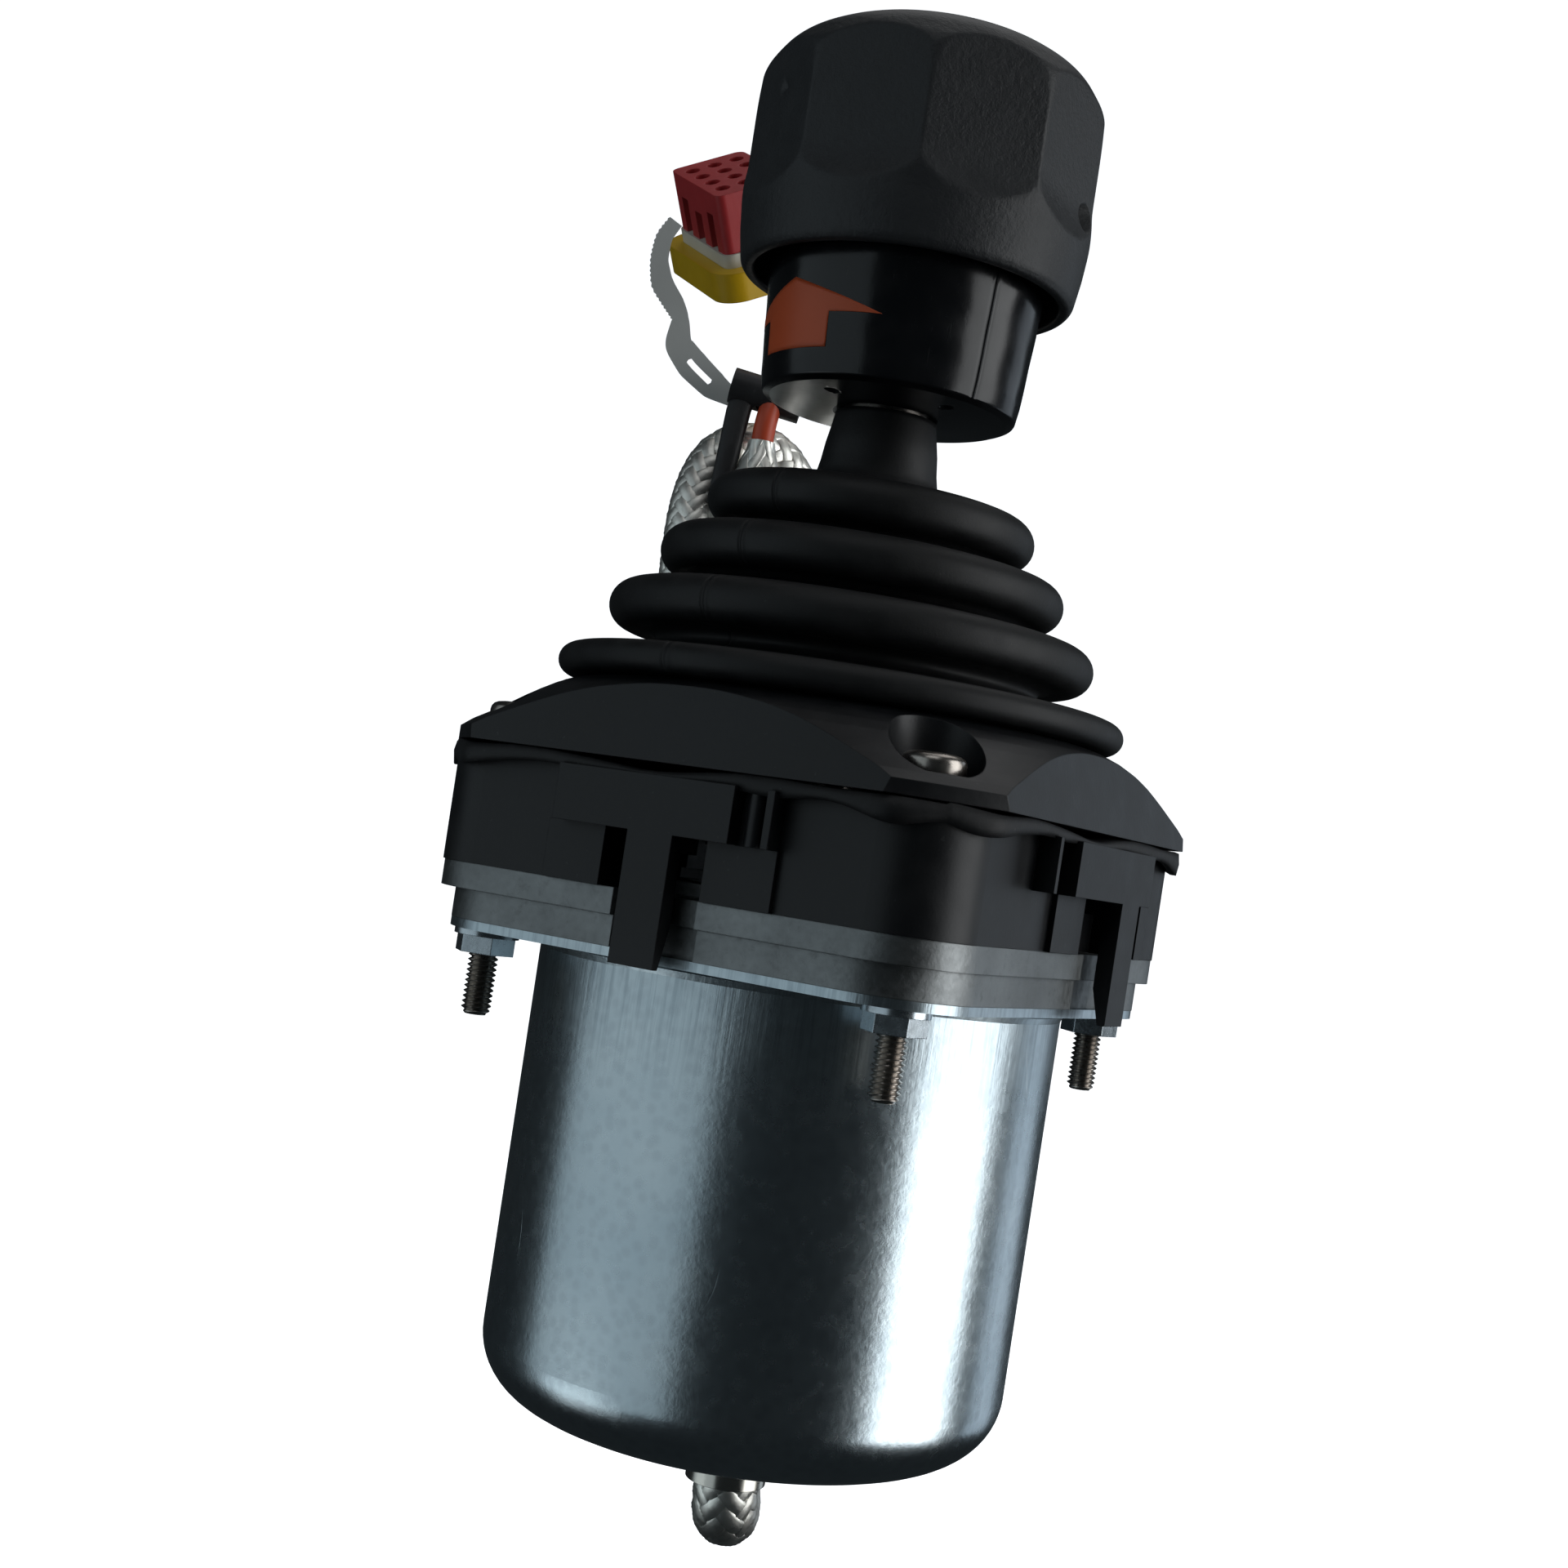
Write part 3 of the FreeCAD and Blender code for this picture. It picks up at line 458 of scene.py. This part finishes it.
def frames(pts):
    t = np.gradient(pts, axis=0)
    t /= np.linalg.norm(t, axis=1)[:, None]
    n = np.zeros_like(pts)
    ref = np.array([1.0, 0, 0]) if abs(t[0][0]) < 0.8 else np.array([0, 1.0, 0])
    n[0] = np.cross(t[0], np.cross(ref, t[0]))
    n[0] /= np.linalg.norm(n[0])
    for i in range(1, len(pts)):
        v = n[i - 1] - t[i] * (n[i - 1] @ t[i])
        n[i] = v / np.linalg.norm(v)
    return t, n, np.cross(t, n)


def ribbons(pts, along, R, carriers, lay, half, amp, name, taper=None):
    """flat carriers of a braid, two over and two under, following the points"""
    t, n, b = frames(pts)
    prof = [(-1.0, -0.16), (-0.82, 0.03), (-0.6, -0.01), (-0.4, 0.09), (-0.2, 0.05), (0.0, 0.12), (0.2, 0.05), (0.4, 0.09), (0.6, -0.01), (0.82, 0.03), (1.0, -0.16)]
    w = 2 * math.pi / lay
    verts, faces = [], []
    k = len(prof)
    for d in (1, -1):
        for i in range(carriers):
            th0 = 2 * math.pi * i / carriers
            c = (d * 1.0) * (th0 + 2 * d * w * along) * carriers / (2 * math.pi)
            rad = R + d * amp * np.sin(math.pi / 2 * (c * d + i + 0.5))
            th = th0 + d * w * along
            base = len(verts)
            for s in range(len(pts)):
                for q, hgt in prof:
                    a = th[s] + q * half / R * math.sqrt(1 + (w * R) ** 2) * 0.98
                    rr = rad[s] + hgt
                    if taper is not None:
                        rr = rr * taper[s]
                    p = pts[s] + (n[s] * math.cos(a) + b[s] * math.sin(a)) * rr * MM
                    verts.append(p)
            for s in range(len(pts) - 1):
                for q in range(k - 1):
                    v0 = base + s * k + q
                    faces.append((v0, v0 + 1, v0 + k + 1, v0 + k))
    return verts, faces


cable, cable_line = nurbs("cable_core", CABLE, 4.2)
cable.data.materials.append(M["core"])
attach(cable, "base")
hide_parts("cable")
pts, along = resample(cable_line, 0.0011)
rv, rf = ribbons(pts, along / MM, 4.42, 10, 27.0, 1.16, 0.17, "braid")
braid = make("cable_braid", rv, rf, "braid", "base")
leads, leads_line = nurbs("lead_bundle", LEADS, 1.9)
leads.data.materials.append(M["red"])
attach(leads, "base")
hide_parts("leads")


# ------------------------------------------------------------------ floor and light
def emit_mat(name, color, strength):
    m = bpy.data.materials.new(name)
    m.use_nodes = True
    nt = m.node_tree
    nt.nodes.clear()
    out = nt.nodes.new("ShaderNodeOutputMaterial")
    e = nd(nt, "ShaderNodeEmission", {"Color": (*color, 1), "Strength": strength})
    nt.links.new(e.outputs[0], out.inputs[0])
    return m


def sweep():
    """pale floor that curves up into a backdrop behind the object"""
    prof = [(0.3, -0.16), (0.9, -0.16)]
    for k in range(1, 17):
        t = math.pi / 2 * k / 16
        prof.append((0.9 + 1.4 * math.sin(t), -0.16 + 1.4 * (1 - math.cos(t))))
    prof.append((2.3, 3.4))
    n = 96
    verts, faces = [(0.0, 0.0, -0.16)], []
    for r, z in prof:
        for j in range(n):
            t = 2 * math.pi * j / n
            verts.append((r * math.cos(t), r * math.sin(t), z))
    for j in range(n):
        faces.append((0, 1 + j, 1 + (j + 1) % n))
    for i in range(len(prof) - 1):
        for j in range(n):
            q, k = 1 + i * n, (j + 1) % n
            faces.append((q + j, q + n + j, q + n + k, q + k))
    me = bpy.data.meshes.new("floor")
    me.from_pydata(verts, [], faces)
    me.polygons.foreach_set("use_smooth", [True] * len(me.polygons))
    return me


fm = sweep()
floor = bpy.data.objects.new("floor", fm)
scene.collection.objects.link(floor)
fmat, fnt, fb = new_mat("floor_white")
fb.inputs["Base Color"].default_value = (0.90, 0.905, 0.91, 1)
fb.inputs["Roughness"].default_value = 0.9
fb.inputs["Specular IOR Level"].default_value = 0.1
fb.inputs["Emission Color"].default_value = (0.97, 0.985, 1.0, 1)
fb.inputs["Emission Strength"].default_value = 0.93
fm.materials.append(fmat)
floor.visible_glossy = False
floor.visible_diffuse = False
scene.view_settings.view_transform = "Standard"
scene.view_settings.look = "None"
scene.view_settings.gamma = 0.88
scene.view_settings.exposure = 0.10


def area(name, az, el, dist, sx, sy, power, color=(1, 1, 1), spread=180.0):
    ld = bpy.data.lights.new(name, "AREA")
    ld.shape = "RECTANGLE"
    ld.size, ld.size_y = sx, sy
    ld.energy = power
    ld.color = color
    ld.spread = math.radians(spread)
    o = bpy.data.objects.new(name, ld)
    a, e = ang(az), math.radians(el)
    d = Vector((math.cos(a) * math.cos(e), math.sin(a) * math.cos(e), math.sin(e)))
    target = Vector((0, 0, 0.01))
    o.location = target + d * dist
    o.rotation_mode = "QUATERNION"
    o.rotation_quaternion = d.to_track_quat("Z", "Y")
    scene.collection.objects.link(o)
    o.visible_camera = False
    return o


area("window_right", 78, 4, 1.0, 0.80, 1.5, 8.4, (0.97, 0.99, 1.0))
area("panel_left", -64, 0, 1.1, 1.6, 1.7, 4.3, (0.80, 0.92, 0.98))
area("overhead", 160, 70, 1.1, 0.9, 0.9, 2.2, (1.0, 1.0, 1.0))
area("low_left", -75, -35, 1.0, 0.5, 0.4, 0.35, (0.9, 0.97, 1.0))
area("top_front", -12, 58, 1.2, 0.7, 0.6, 1.2, (0.95, 0.98, 1.0))
area("far_right", 128, 0, 1.2, 0.5, 1.2, 1.35, (0.8, 0.9, 1.0))

world = bpy.data.worlds.new("world")
scene.world = world
world.use_nodes = True
wn = world.node_tree
wn.nodes.clear()
wo = wn.nodes.new("ShaderNodeOutputWorld")
bg1 = nd(wn, "ShaderNodeBackground", {"Color": (0.55, 0.66, 0.72, 1), "Strength": 0.035})
wn.links.new(bg1.outputs[0], wo.inputs[0])

# ------------------------------------------------------------------ knob
FACETS = [math.radians(-42.5 + 40 * k) for k in range(9)]
DIMPLE = (ang(-62.0), 94.3)
knob_prof = fillet([
    (0.0, 106.0), (11.0, 105.7, 30), (17.5, 104.6, 12), (21.4, 102.3, 7), (23.9, 98.8, 4), (24.3, 92.0, 30), (24.4, 82.0, 14), (23.9, 77.0, 10),
    (23.3, 73.2, 1.6), (22.6, 72.3, 0.9), (21.3, 72.35, 0.5), (21.25, 80.5, 0.5), (4.3, 80.5)], 7)
knob_prof = dense(knob_prof, 0.45)


def knob_shape(R, Z, T):
    d = np.full_like(T, 9.0)
    for f in FACETS:
        d = np.minimum(d, np.abs((T - f + math.pi) % (2 * math.pi) - math.pi))
    depth = 22.72 + np.clip(86.0 - Z, 0, None) ** 2 / 26.0
    flat = depth / np.cos(d)
    outer = (np.arange(len(knob_prof)) < outer_rows)[:, None]
    k = 0.10
    sm = 0.5 * (R + flat - np.sqrt((R - flat) ** 2 + k * k))
    R2 = np.where(outer & (Z > 76), np.minimum(sm, R), R)
    # small dimple of the gate on a left facet
    dist2 = ((T - DIMPLE[0] + math.pi) % (2 * math.pi) - math.pi) ** 2 * 23.0 ** 2 + (Z - DIMPLE[1]) ** 2
    R2 = np.where(outer, R2 - 0.55 * np.exp(-dist2 / (2 * 0.55 ** 2)), R2)
    return R2, Z, 0, 0


outer_rows = next(i for i, (r, z) in enumerate(knob_prof) if z < 72.45)
v, f = revolve(knob_prof, ring_thetas(540, (DIMPLE[0],), 0.08, 20), knob_shape)
knob = weld(make("knob_body", v, f, "knob", None))
sd = ang(72.0)
cut_with(knob, cutter_cyl((20.5 * MM * math.cos(sd), 20.5 * MM * math.sin(sd), 84 * MM), (30 * MM * math.cos(sd), 30 * MM * math.sin(sd), 84 * MM), 1.95 * MM))
knob.data.polygons.foreach_set("use_smooth", [True] * len(knob.data.polygons))
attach(knob, "lever")
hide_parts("knob")

# ------------------------------------------------------------------ lift ring
SEAM = ang(38.0)
SEAM2 = ang(38.0 + 180)
ring_prof = fillet([
    (5.9, 55.0), (7.6, 54.9, 0.4), (16.6, 55.6, 0.3), (17.75, 56.1, 0.6), (18.1, 58.4, 2.5), (19.15, 73.0, 1.0), (18.8, 74.0, 0.4), (11.3, 74.0, 0.3), (11.2, 66.0)], 5)
ring_prof = dense(ring_prof, 0.6)


def ring_shape(R, Z, T):
    side = ((R > 16.5) & (Z > 56.2)).astype(float)
    out = R.copy()
    for s in (SEAM, SEAM2):
        d = ((T - s + math.pi) % (2 * math.pi) - math.pi) * 19.0
        out += side * (0.09 * np.exp(-(d / 0.10) ** 2) - 0.05 * np.exp(-((np.abs(d) - 0.45) / 0.25) ** 2))
    out += side * 0.02 * np.sin(7 * T + Z * 0.9)
    return out, Z, 0, 0


v, f = revolve(ring_prof, ring_thetas(300, (SEAM, SEAM2), 0.05, 40), ring_shape)
lift = make("lift_ring_body", v, f, "ring", None)
for phi in (38.0, -38.0):
    x, y, _ = polar(phi, 12.6, 0)
    cut_with(lift, cutter_cyl((x * MM, y * MM, 50 * MM), (x * MM, y * MM, 57.5 * MM), 1.0 * MM, 20))
lift.data.polygons.foreach_set("use_smooth", [True] * len(lift.data.polygons))
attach(lift, "lift_ring")
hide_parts("lift_ring")


def ring_r(z):
    return 18.1 + (z - 58.4) * (19.15 - 18.1) / (73.0 - 58.4)


# plain printed arrow: a shaft and a broad head, laid on the ring's taper
def arrow_mesh(mid=-51.0, half=43.0, shaft=20.0, z_low=59.5, z_bar=64.1, z_tip=69.0, lift_mm=0.035):
    verts, faces = [], []

    def grid(phis, lows, highs, n):
        base = len(verts)
        for ph, a, b in zip(phis, lows, highs):
            for k in range(n + 1):
                z = a + (b - a) * k / n
                verts.append(tuple(v * MM for v in polar(ph, ring_r(z) + lift_mm, z)))
        for i in range(len(phis) - 1):
            for k in range(n):
                q = base + i * (n + 1) + k
                faces.append((q, q + n + 1, q + n + 2, q + 1))

    ph = np.linspace(mid - half, mid + half, 87)
    grid(ph, [z_bar] * len(ph), [z_tip - (z_tip - z_bar) * min(1.0, abs(q - mid) / half) + 0.02 for q in ph], 6)
    ph = np.linspace(mid - shaft, mid + shaft, 41)
    grid(ph, [z_low] * len(ph), [z_bar] * len(ph), 6)
    return verts, faces


v, f = arrow_mesh()
arrow = weld(make("lift_arrow", v, f, "orange", "lift_ring"), 1e-6)
sol = arrow.modifiers.new("thick", "SOLIDIFY")
sol.thickness = 0.03 * MM
sol.offset = 0

# ------------------------------------------------------------------ boot, in two pieces that meet in the waist between the second and third rings
NICKS = [ang(-35.0), ang(145.0)]


def arc(rc, zc, r, a0, a1, n):
    return [(rc + r * math.cos(a0 + i * (a1 - a0) / (n - 1)), zc + r * math.sin(a0 + i * (a1 - a0) / (n - 1))) for i in range(n)]


H = math.pi / 2
low_out = [(36.3, 8.8), (36.3, 10.0), (33.7, 10.1), (33.7, 12.75), (35.4, 12.8)] + arc(37.3, 14.8, 2.0, -H, H, 16)[1:] + [(33.0, 17.0), (28.4, 17.7), (27.0, 18.2), (26.55, 19.0), (26.9, 19.8), (28.4, 20.3)] \
    + arc(30.7, 23.3, 3.1, -H * 0.97, H, 18) + [(27.4, 26.5), (24.2, 26.7), (23.0, 27.1), (22.65, 27.75)]
low_in = [(20.9, 27.75), (20.9, 26.4), (22.4, 25.2), (29.4, 24.8), (31.0, 24.4), (31.7, 23.3), (31.0, 22.2), (26.6, 21.9), (24.9, 20.6), (24.9, 17.7), (26.6, 16.4), (35.4, 15.7), (36.2, 14.9),
          (35.0, 14.6), (32.6, 14.4), (32.1, 12.6), (32.1, 8.8)]
up_out = [(22.65, 27.75), (22.9, 28.4), (24.2, 28.75)] + arc(25.1, 31.7, 3.1, -H * 0.93, H, 18) + [(22.0, 34.9), (18.9, 35.1), (17.8, 35.5), (17.45, 36.0), (17.8, 36.4), (18.6, 36.65)] \
    + arc(19.8, 39.7, 3.1, -H * 0.93, H, 18) + [(17.0, 43.0), (13.4, 43.3), (10.6, 43.8), (9.2, 44.5), (8.5, 45.8), (8.15, 47.6), (7.85, 50.2), (7.4, 52.6), (7.1, 54.6)]
up_in = [(6.2, 54.6), (6.2, 49.5), (6.6, 46.0), (7.8, 43.4), (10.4, 42.0), (17.4, 41.6), (19.4, 41.0), (20.4, 39.7), (19.4, 38.6), (17.0, 38.3), (15.8, 37.0), (15.8, 34.9),
         (17.4, 33.6), (24.4, 33.4), (25.6, 32.9), (26.2, 31.7), (25.4, 30.7), (22.2, 30.4), (20.9, 29.2), (20.9, 27.75)]


def boot_shape(R, Z, T):
    rise = np.clip((Z - 14) / 20.0, 0, 1) * np.clip((50 - Z) / 8.0, 0, 1)
    px = R * np.sin(T - ang(0.0))            # to the camera's right
    Z2 = Z - 0.017 * px * rise + 0.12 * rise * np.sin(2 * T + 0.7)
    R2 = R + 0.10 * rise * np.sin(3 * T + 1.1 + Z * 0.15)
    top = np.clip((np.sin((Z2 - 14) * 0.76)), 0, 1)
    for s in NICKS:
        d = ((T - s + math.pi) % (2 * math.pi) - math.pi) * 28.0
        R2 = R2 - 0.16 * np.exp(-(d / 0.22) ** 2) * ((Z < 44) & (Z > 13)) + 0.10 * np.exp(-((d - 0.55) / 0.3) ** 2) * ((Z < 44) & (Z > 13))
    dx = -0.5 * (1 - rise * 0.0) * np.clip((34 - Z) / 22.0, 0, 1) * 0.8
    return R2, Z2, dx * math.cos(VIEW), dx * math.sin(VIEW)


bt = ring_thetas(288, NICKS, 0.05, 26)
v, f = revolve(dense(low_out + low_in, 0.7), bt, boot_shape, closed=True)
boot_low = weld(make("boot_lower", v, f, "boot", None))
v, f = revolve(dense(up_out + up_in, 0.7), bt, boot_shape, closed=True)
boot_up = weld(make("boot_upper", v, f, "boot", None))
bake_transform(boot_low)
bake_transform(boot_up)
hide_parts("boot")
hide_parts("boot")


# ------------------------------------------------------------------ gasket: a thin soft frame that dips and droops
def outline(T, a, R, k=1.2):
    sq = a / np.maximum(np.abs(np.cos(T)), np.abs(np.sin(T)))
    return 0.5 * (sq + R - np.sqrt((sq - R) ** 2 + k * k))


def face_pos(T):
    """position along the side, in mm, and how near a corner (0 at mid-side, 1 at the corner)"""
    q = (T + math.pi / 4) % (math.pi / 2) - math.pi / 4
    return 41.0 * np.tan(q), np.abs(q) / (math.pi / 4)


def bumpf(x, c, w):
    return np.exp(-((x - c) / w) ** 2)


gt = np.linspace(0, 2 * math.pi, 900, endpoint=False)
s_pos, near = face_pos(gt)
dip = 1.15 * bumpf(s_pos, -3.0, 7.5) + 0.12 * np.sin(s_pos * 0.35)
droop = 1.5 * bumpf(near * 41, 41 * 0.86, 5.0) + 0.35 * bumpf(s_pos, 14.0, 6.0) + 0.25 * np.sin(s_pos * 0.23 + 1.0) ** 2 + 0.35
topz = 1.55 - dip - 0.25 * bumpf(near * 41, 41 * 0.8, 6)
rows = [(35.0, 1.5, "in"), (35.0, 0.1, "in")]
edge = outline(gt, 41.4, 51.7)
inner = np.full_like(gt, 35.5)
prof_rows = []
lowz = 0.05 - droop
for r_off, zf in ((None, "top"), (-3.2, "top"), (-0.9, "top"), (-0.25, "topr"), (0.0, "mid"), (-0.2, "low"), (-0.9, "low"), (-1.5, "low2"), (-2.4, "flat"), (None, "flat")):
    rr = inner if r_off is None else edge + r_off
    lip_low = np.minimum(lowz, 0.02)
    zt = {"top": topz, "topr": topz - 0.15, "mid": (topz + lip_low) / 2, "low": lip_low + 0.1, "low2": np.minimum(lip_low + 0.35, 0.02), "flat": np.full_like(gt, 0.02)}[zf]
    if zf == "top" and (r_off is None or r_off < -3):
        zt = np.minimum(topz + 0.0, 1.55)
    prof_rows.append((rr, zt))
gv = []
for rr, zt in prof_rows:
    gv += list(np.stack([rr * np.cos(gt), rr * np.sin(gt), zt], 1) * MM)
gn = len(gt)
gf = []
for i in range(len(prof_rows)):
    a, b2 = i * gn, ((i + 1) % len(prof_rows)) * gn
    for j in range(gn):
        gf.append((a + j, a + (j + 1) % gn, b2 + (j + 1) % gn, b2 + j))
gasket = weld(make("gasket_sheet", gv, gf, "gasket", "base", replaces=("gasket",)))

# ------------------------------------------------------------------ screws with real threads
def screw_mesh(x, y, n=40):
    verts, faces = [], []

    def ring(rs, zs):
        base = len(verts)
        for j in range(n):
            t = 2 * math.pi * j / n
            verts.append(((x + rs(t) * math.cos(t)) * MM, (y + rs(t) * math.sin(t)) * MM, zs(t) * MM))
        return base

    def join(a, b):
        for j in range(n):
            k = (j + 1) % n
            faces.append((a + j, a + k, b + k, b + j))

    pitch, z0, z1 = 0.7, -34.4, -22.0
    steps = int((z1 - z0) / (pitch / 8))
    first = ring(lambda t: 0.01, lambda t: z0)
    last = ring(lambda t: 1.25, lambda t: z0)
    join(first, last)
    for i in range(steps + 1):
        z = z0 + (z1 - z0) * i / steps
        fade = min(1.0, (z - z0) / 0.8 + 0.15)

        def r(t, z=z, fade=fade):
            ph = (z / pitch - t / (2 * math.pi)) % 1.0
            tri = 1 - abs(2 * ph - 1)
            tri = min(1.0, max(0.0, (tri - 0.08) / 0.80))
            return 1.52 + 0.46 * tri * fade - 0.18 * (1 - fade)
        cur = ring(r, lambda t, z=z: z)
        join(last, cur)
        last = cur
    prof = [(1.95, -21.9), (1.95, 4.8), (3.95, 4.82), (4.0, 5.0), (4.0, 6.1), (3.9, 6.55), (3.6, 6.95), (3.1, 7.2), (2.4, 7.33), (1.5, 7.38)]
    for rr, z in prof:
        cur = ring(lambda t, rr=rr: rr, lambda t, z=z: z)
        join(last, cur)
        last = cur
    hexr = lambda t, a=1.25: a / math.cos((t % (math.pi / 3)) - math.pi / 6)
    for rr, z in ((hexr, 7.36), (hexr, 5.6)):
        cur = ring(rr, lambda t, z=z: z)
        join(last, cur)
        last = cur
    cur = ring(lambda t: 0.01, lambda t: 5.4)
    join(last, cur)
    return verts, faces


sv, sf = [], []
for sx in (-31, 31):
    for sy in (-31, 31):
        a, b2 = screw_mesh(sx, sy)
        off = len(sv)
        sv += a
        sf += [tuple(i + off for i in q) for q in b2]
screws = weld(make("mounting_screws_threaded", sv, sf, "steel", "base", replaces=("mounting_screws",)), 2e-5)
mod = screws.modifiers.new("sharp", "EDGE_SPLIT")
mod.split_angle = math.radians(50)

# ------------------------------------------------------------------ braid end, sleeve
def cone_braid():
    n = 60
    base, tip = np.array(turned(-20.2, 61.6, 49.0)), np.array(turned(-20.2, 61.6, 61.2))
    t = np.linspace(0, 1, 26)
    pts2 = base[None, :] * (1 - t[:, None]) + tip[None, :] * t[:, None]
    al = t * 12.2
    prof = np.interp(t, [0, 0.12, 0.3, 0.6, 0.85, 1.0], [4.6, 5.5, 5.2, 3.6, 2.5, 2.15]) / 4.42
    return pts2, al, prof


p2, al2, tp = cone_braid()
rv, rf = ribbons(p2, al2, 4.42, 10, 40.0, 1.16, 0.17, "cone", tp)
cone = make("braid_cone", rv, rf, "braid", "base", replaces=("braid_end",))
tt, nn, bb = frames(p2)
cv, cf = [], []
for i in range(len(p2)):
    for j in range(40):
        a = 2 * math.pi * j / 40
        cv.append(p2[i] + (nn[i] * math.cos(a) + bb[i] * math.sin(a)) * 4.15 * tp[i] * MM)
for i in range(len(p2) - 1):
    for j in range(40):
        cf.append((i * 40 + j, i * 40 + (j + 1) % 40, (i + 1) * 40 + (j + 1) % 40, (i + 1) * 40 + j))
cone_core = make("braid_cone_core", cv, cf, "core", "base")

# the sleeve's loose leg, flattened, hanging between the braid and its cone
lv, lf = [], []
leg = [(-24.4, 63.0, 69.6), (-25.0, 62.4, 66.0), (-25.4, 61.2, 60.0), (-25.8, 60.2, 54.0), (-26.2, 59.6, 49.5)]
lp, la = resample(np.array([turned(*p) for p in leg]), 0.0006)
for i, p in enumerate(lp):
    f = i / (len(lp) - 1)
    for j in range(20):
        t = 2 * math.pi * j / 20
        q = np.array(turned(math.cos(t) * (2.2 - 0.5 * f), math.sin(t) * (1.3 - 0.35 * f), 0.0))
        lv.append(p + q)
for i in range(len(lp) - 1):
    for j in range(20):
        lf.append((i * 20 + j, i * 20 + (j + 1) % 20, (i + 1) * 20 + (j + 1) % 20, (i + 1) * 20 + j))
lf.append(tuple(range(19, -1, -1)))
lf.append(tuple((len(lp) - 1) * 20 + j for j in range(20)))
leg_o = make("sleeve_leg", lv, lf, "sleeve", "base")

# cable tie: a strap with teeth, a slotted pad, and its loop up to the connector, all one thin piece
TIE = [(-21.45, 54.3, 1.2), (-24.5, 55.7, 2.0), (-27.8, 58.1, 2.2), (-30.2, 60.6, 1.9), (-30.3, 64.2, 1.2), (-31.6, 66.1, 1.5), (-33.7, 68.6, 1.6), (-34.6, 71.8, 1.3), (-34.4, 75.1, 1.2), (-33.0, 77.6, 1.1)]
tp_ = np.array([(a, b, w) for a, b, w in TIE], float)
tl = np.concatenate([[0], np.cumsum(np.hypot(np.diff(tp_[:, 0]), np.diff(tp_[:, 1])))])
ts = np.arange(0, tl[-1], 0.16)
cx, cz, wd = (np.interp(ts, tl, tp_[:, k]) for k in range(3))
for _ in range(30):
    cx[1:-1] = (cx[:-2] + 2 * cx[1:-1] + cx[2:]) / 4
    cz[1:-1] = (cz[:-2] + 2 * cz[1:-1] + cz[2:]) / 4
tx, tz = np.gradient(cx), np.gradient(cz)
tn = np.hypot(tx, tz)
nx, nz = -tz / tn, tx / tn
tv, tf = [], []
teeth = np.where(ts > tl[4], 0.16 * np.abs(((ts / 0.64) % 1.0) * 2 - 1), 0.0)
slot0, slot1 = tl[1] + 0.6, tl[2] + 0.8


def at_view(x, z, d):
    k = (281.0 + d) / 281.0
    return turned(x * k, d, (z + 7.0) * k - 7.0)


for i in range(len(ts)):
    for side in (-1, 1):
        w = wd[i] - (teeth[i] if side > 0 else 0)
        hole = 0.42 if slot0 < ts[i] < slot1 else 0.0
        for d in (67.0, 68.3):
            tv.append(at_view(cx[i] + nx[i] * side * w, cz[i] + nz[i] * side * w, d))
            tv.append(at_view(cx[i] + nx[i] * side * hole, cz[i] + nz[i] * side * hole, d))
for i in range(len(ts) - 1):
    a, b2 = i * 8, (i + 1) * 8
    for o_, flip in ((0, 1), (4, -1)):
        outer0, inner0, outer1, inner1 = a + o_, a + o_ + 1, a + o_ + 2, a + o_ + 3
        outer0b, inner0b, outer1b, inner1b = b2 + o_, b2 + o_ + 1, b2 + o_ + 2, b2 + o_ + 3
        tf += [(outer0, inner0, inner0b, outer0b), (outer1, outer1b, inner1b, inner1), (outer0, outer0b, outer1b, outer1)]
        if slot0 < ts[i] < slot1 or slot0 < ts[i + 1] < slot1:
            tf.append((inner0, inner1, inner1b, inner0b))
for e in (0, (len(ts) - 1) * 8):
    tf += [(e, e + 2, e + 3, e + 1), (e + 4, e + 5, e + 7, e + 6)]
tie_o = weld(make("tie_strap", tv, tf, "tie", "base", smooth=False, replaces=("cable_tie",)), 2e-6)

print("LENGTHS", length_of(cable_line), length_of(leads_line))

# ------------------------------------------------------------------ materials for the CAD pieces that show as they are
CAD_MAT = {
    "cover": "cover", "housing": "housing", "upper_plate": "cast", "lower_plate": "cast", "can": "can", "mounting_nuts": "zinc",
    "boot_clamp_ring": "zinc", "clamp_screws": "steel", "gimbal_frame": "cast", "frame_screws": "steel", "trunnion_bushes": "brass",
    "centring_springs_x": "spring", "centring_springs_y": "spring", "gimbal_ring": "cast", "trunnion_pins": "steel", "lever_shaft": "steel",
    "lever_hub": "cast", "cross_pin": "steel", "magnet_holder": "brass", "magnet": "spring", "knob_set_screw": "black", "lock_sleeve": "steel",
    "lift_spring": "spring", "travel_gate": "zinc", "gate_spacers": "brass", "gate_screws": "steel", "sensor_standoffs": "brass",
    "sensor_board": "board", "hall_sensor": "black", "board_standoffs": "brass", "main_board": "board", "board_screws": "steel",
    "terminal_block": "green", "cable_gland": "nickel", "gland_lock_nut": "nickel", "lead_sleeve": "sleeve",
    "connector_shell": "natural", "connector_lock": "conn_red", "connector_seal": "yellow",
}
for node, key in CAD_MAT.items():
    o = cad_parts[node]
    if not o.material_slots:
        o.data.materials.append(M[key])
    for s in o.material_slots:
        s.material = M[key]
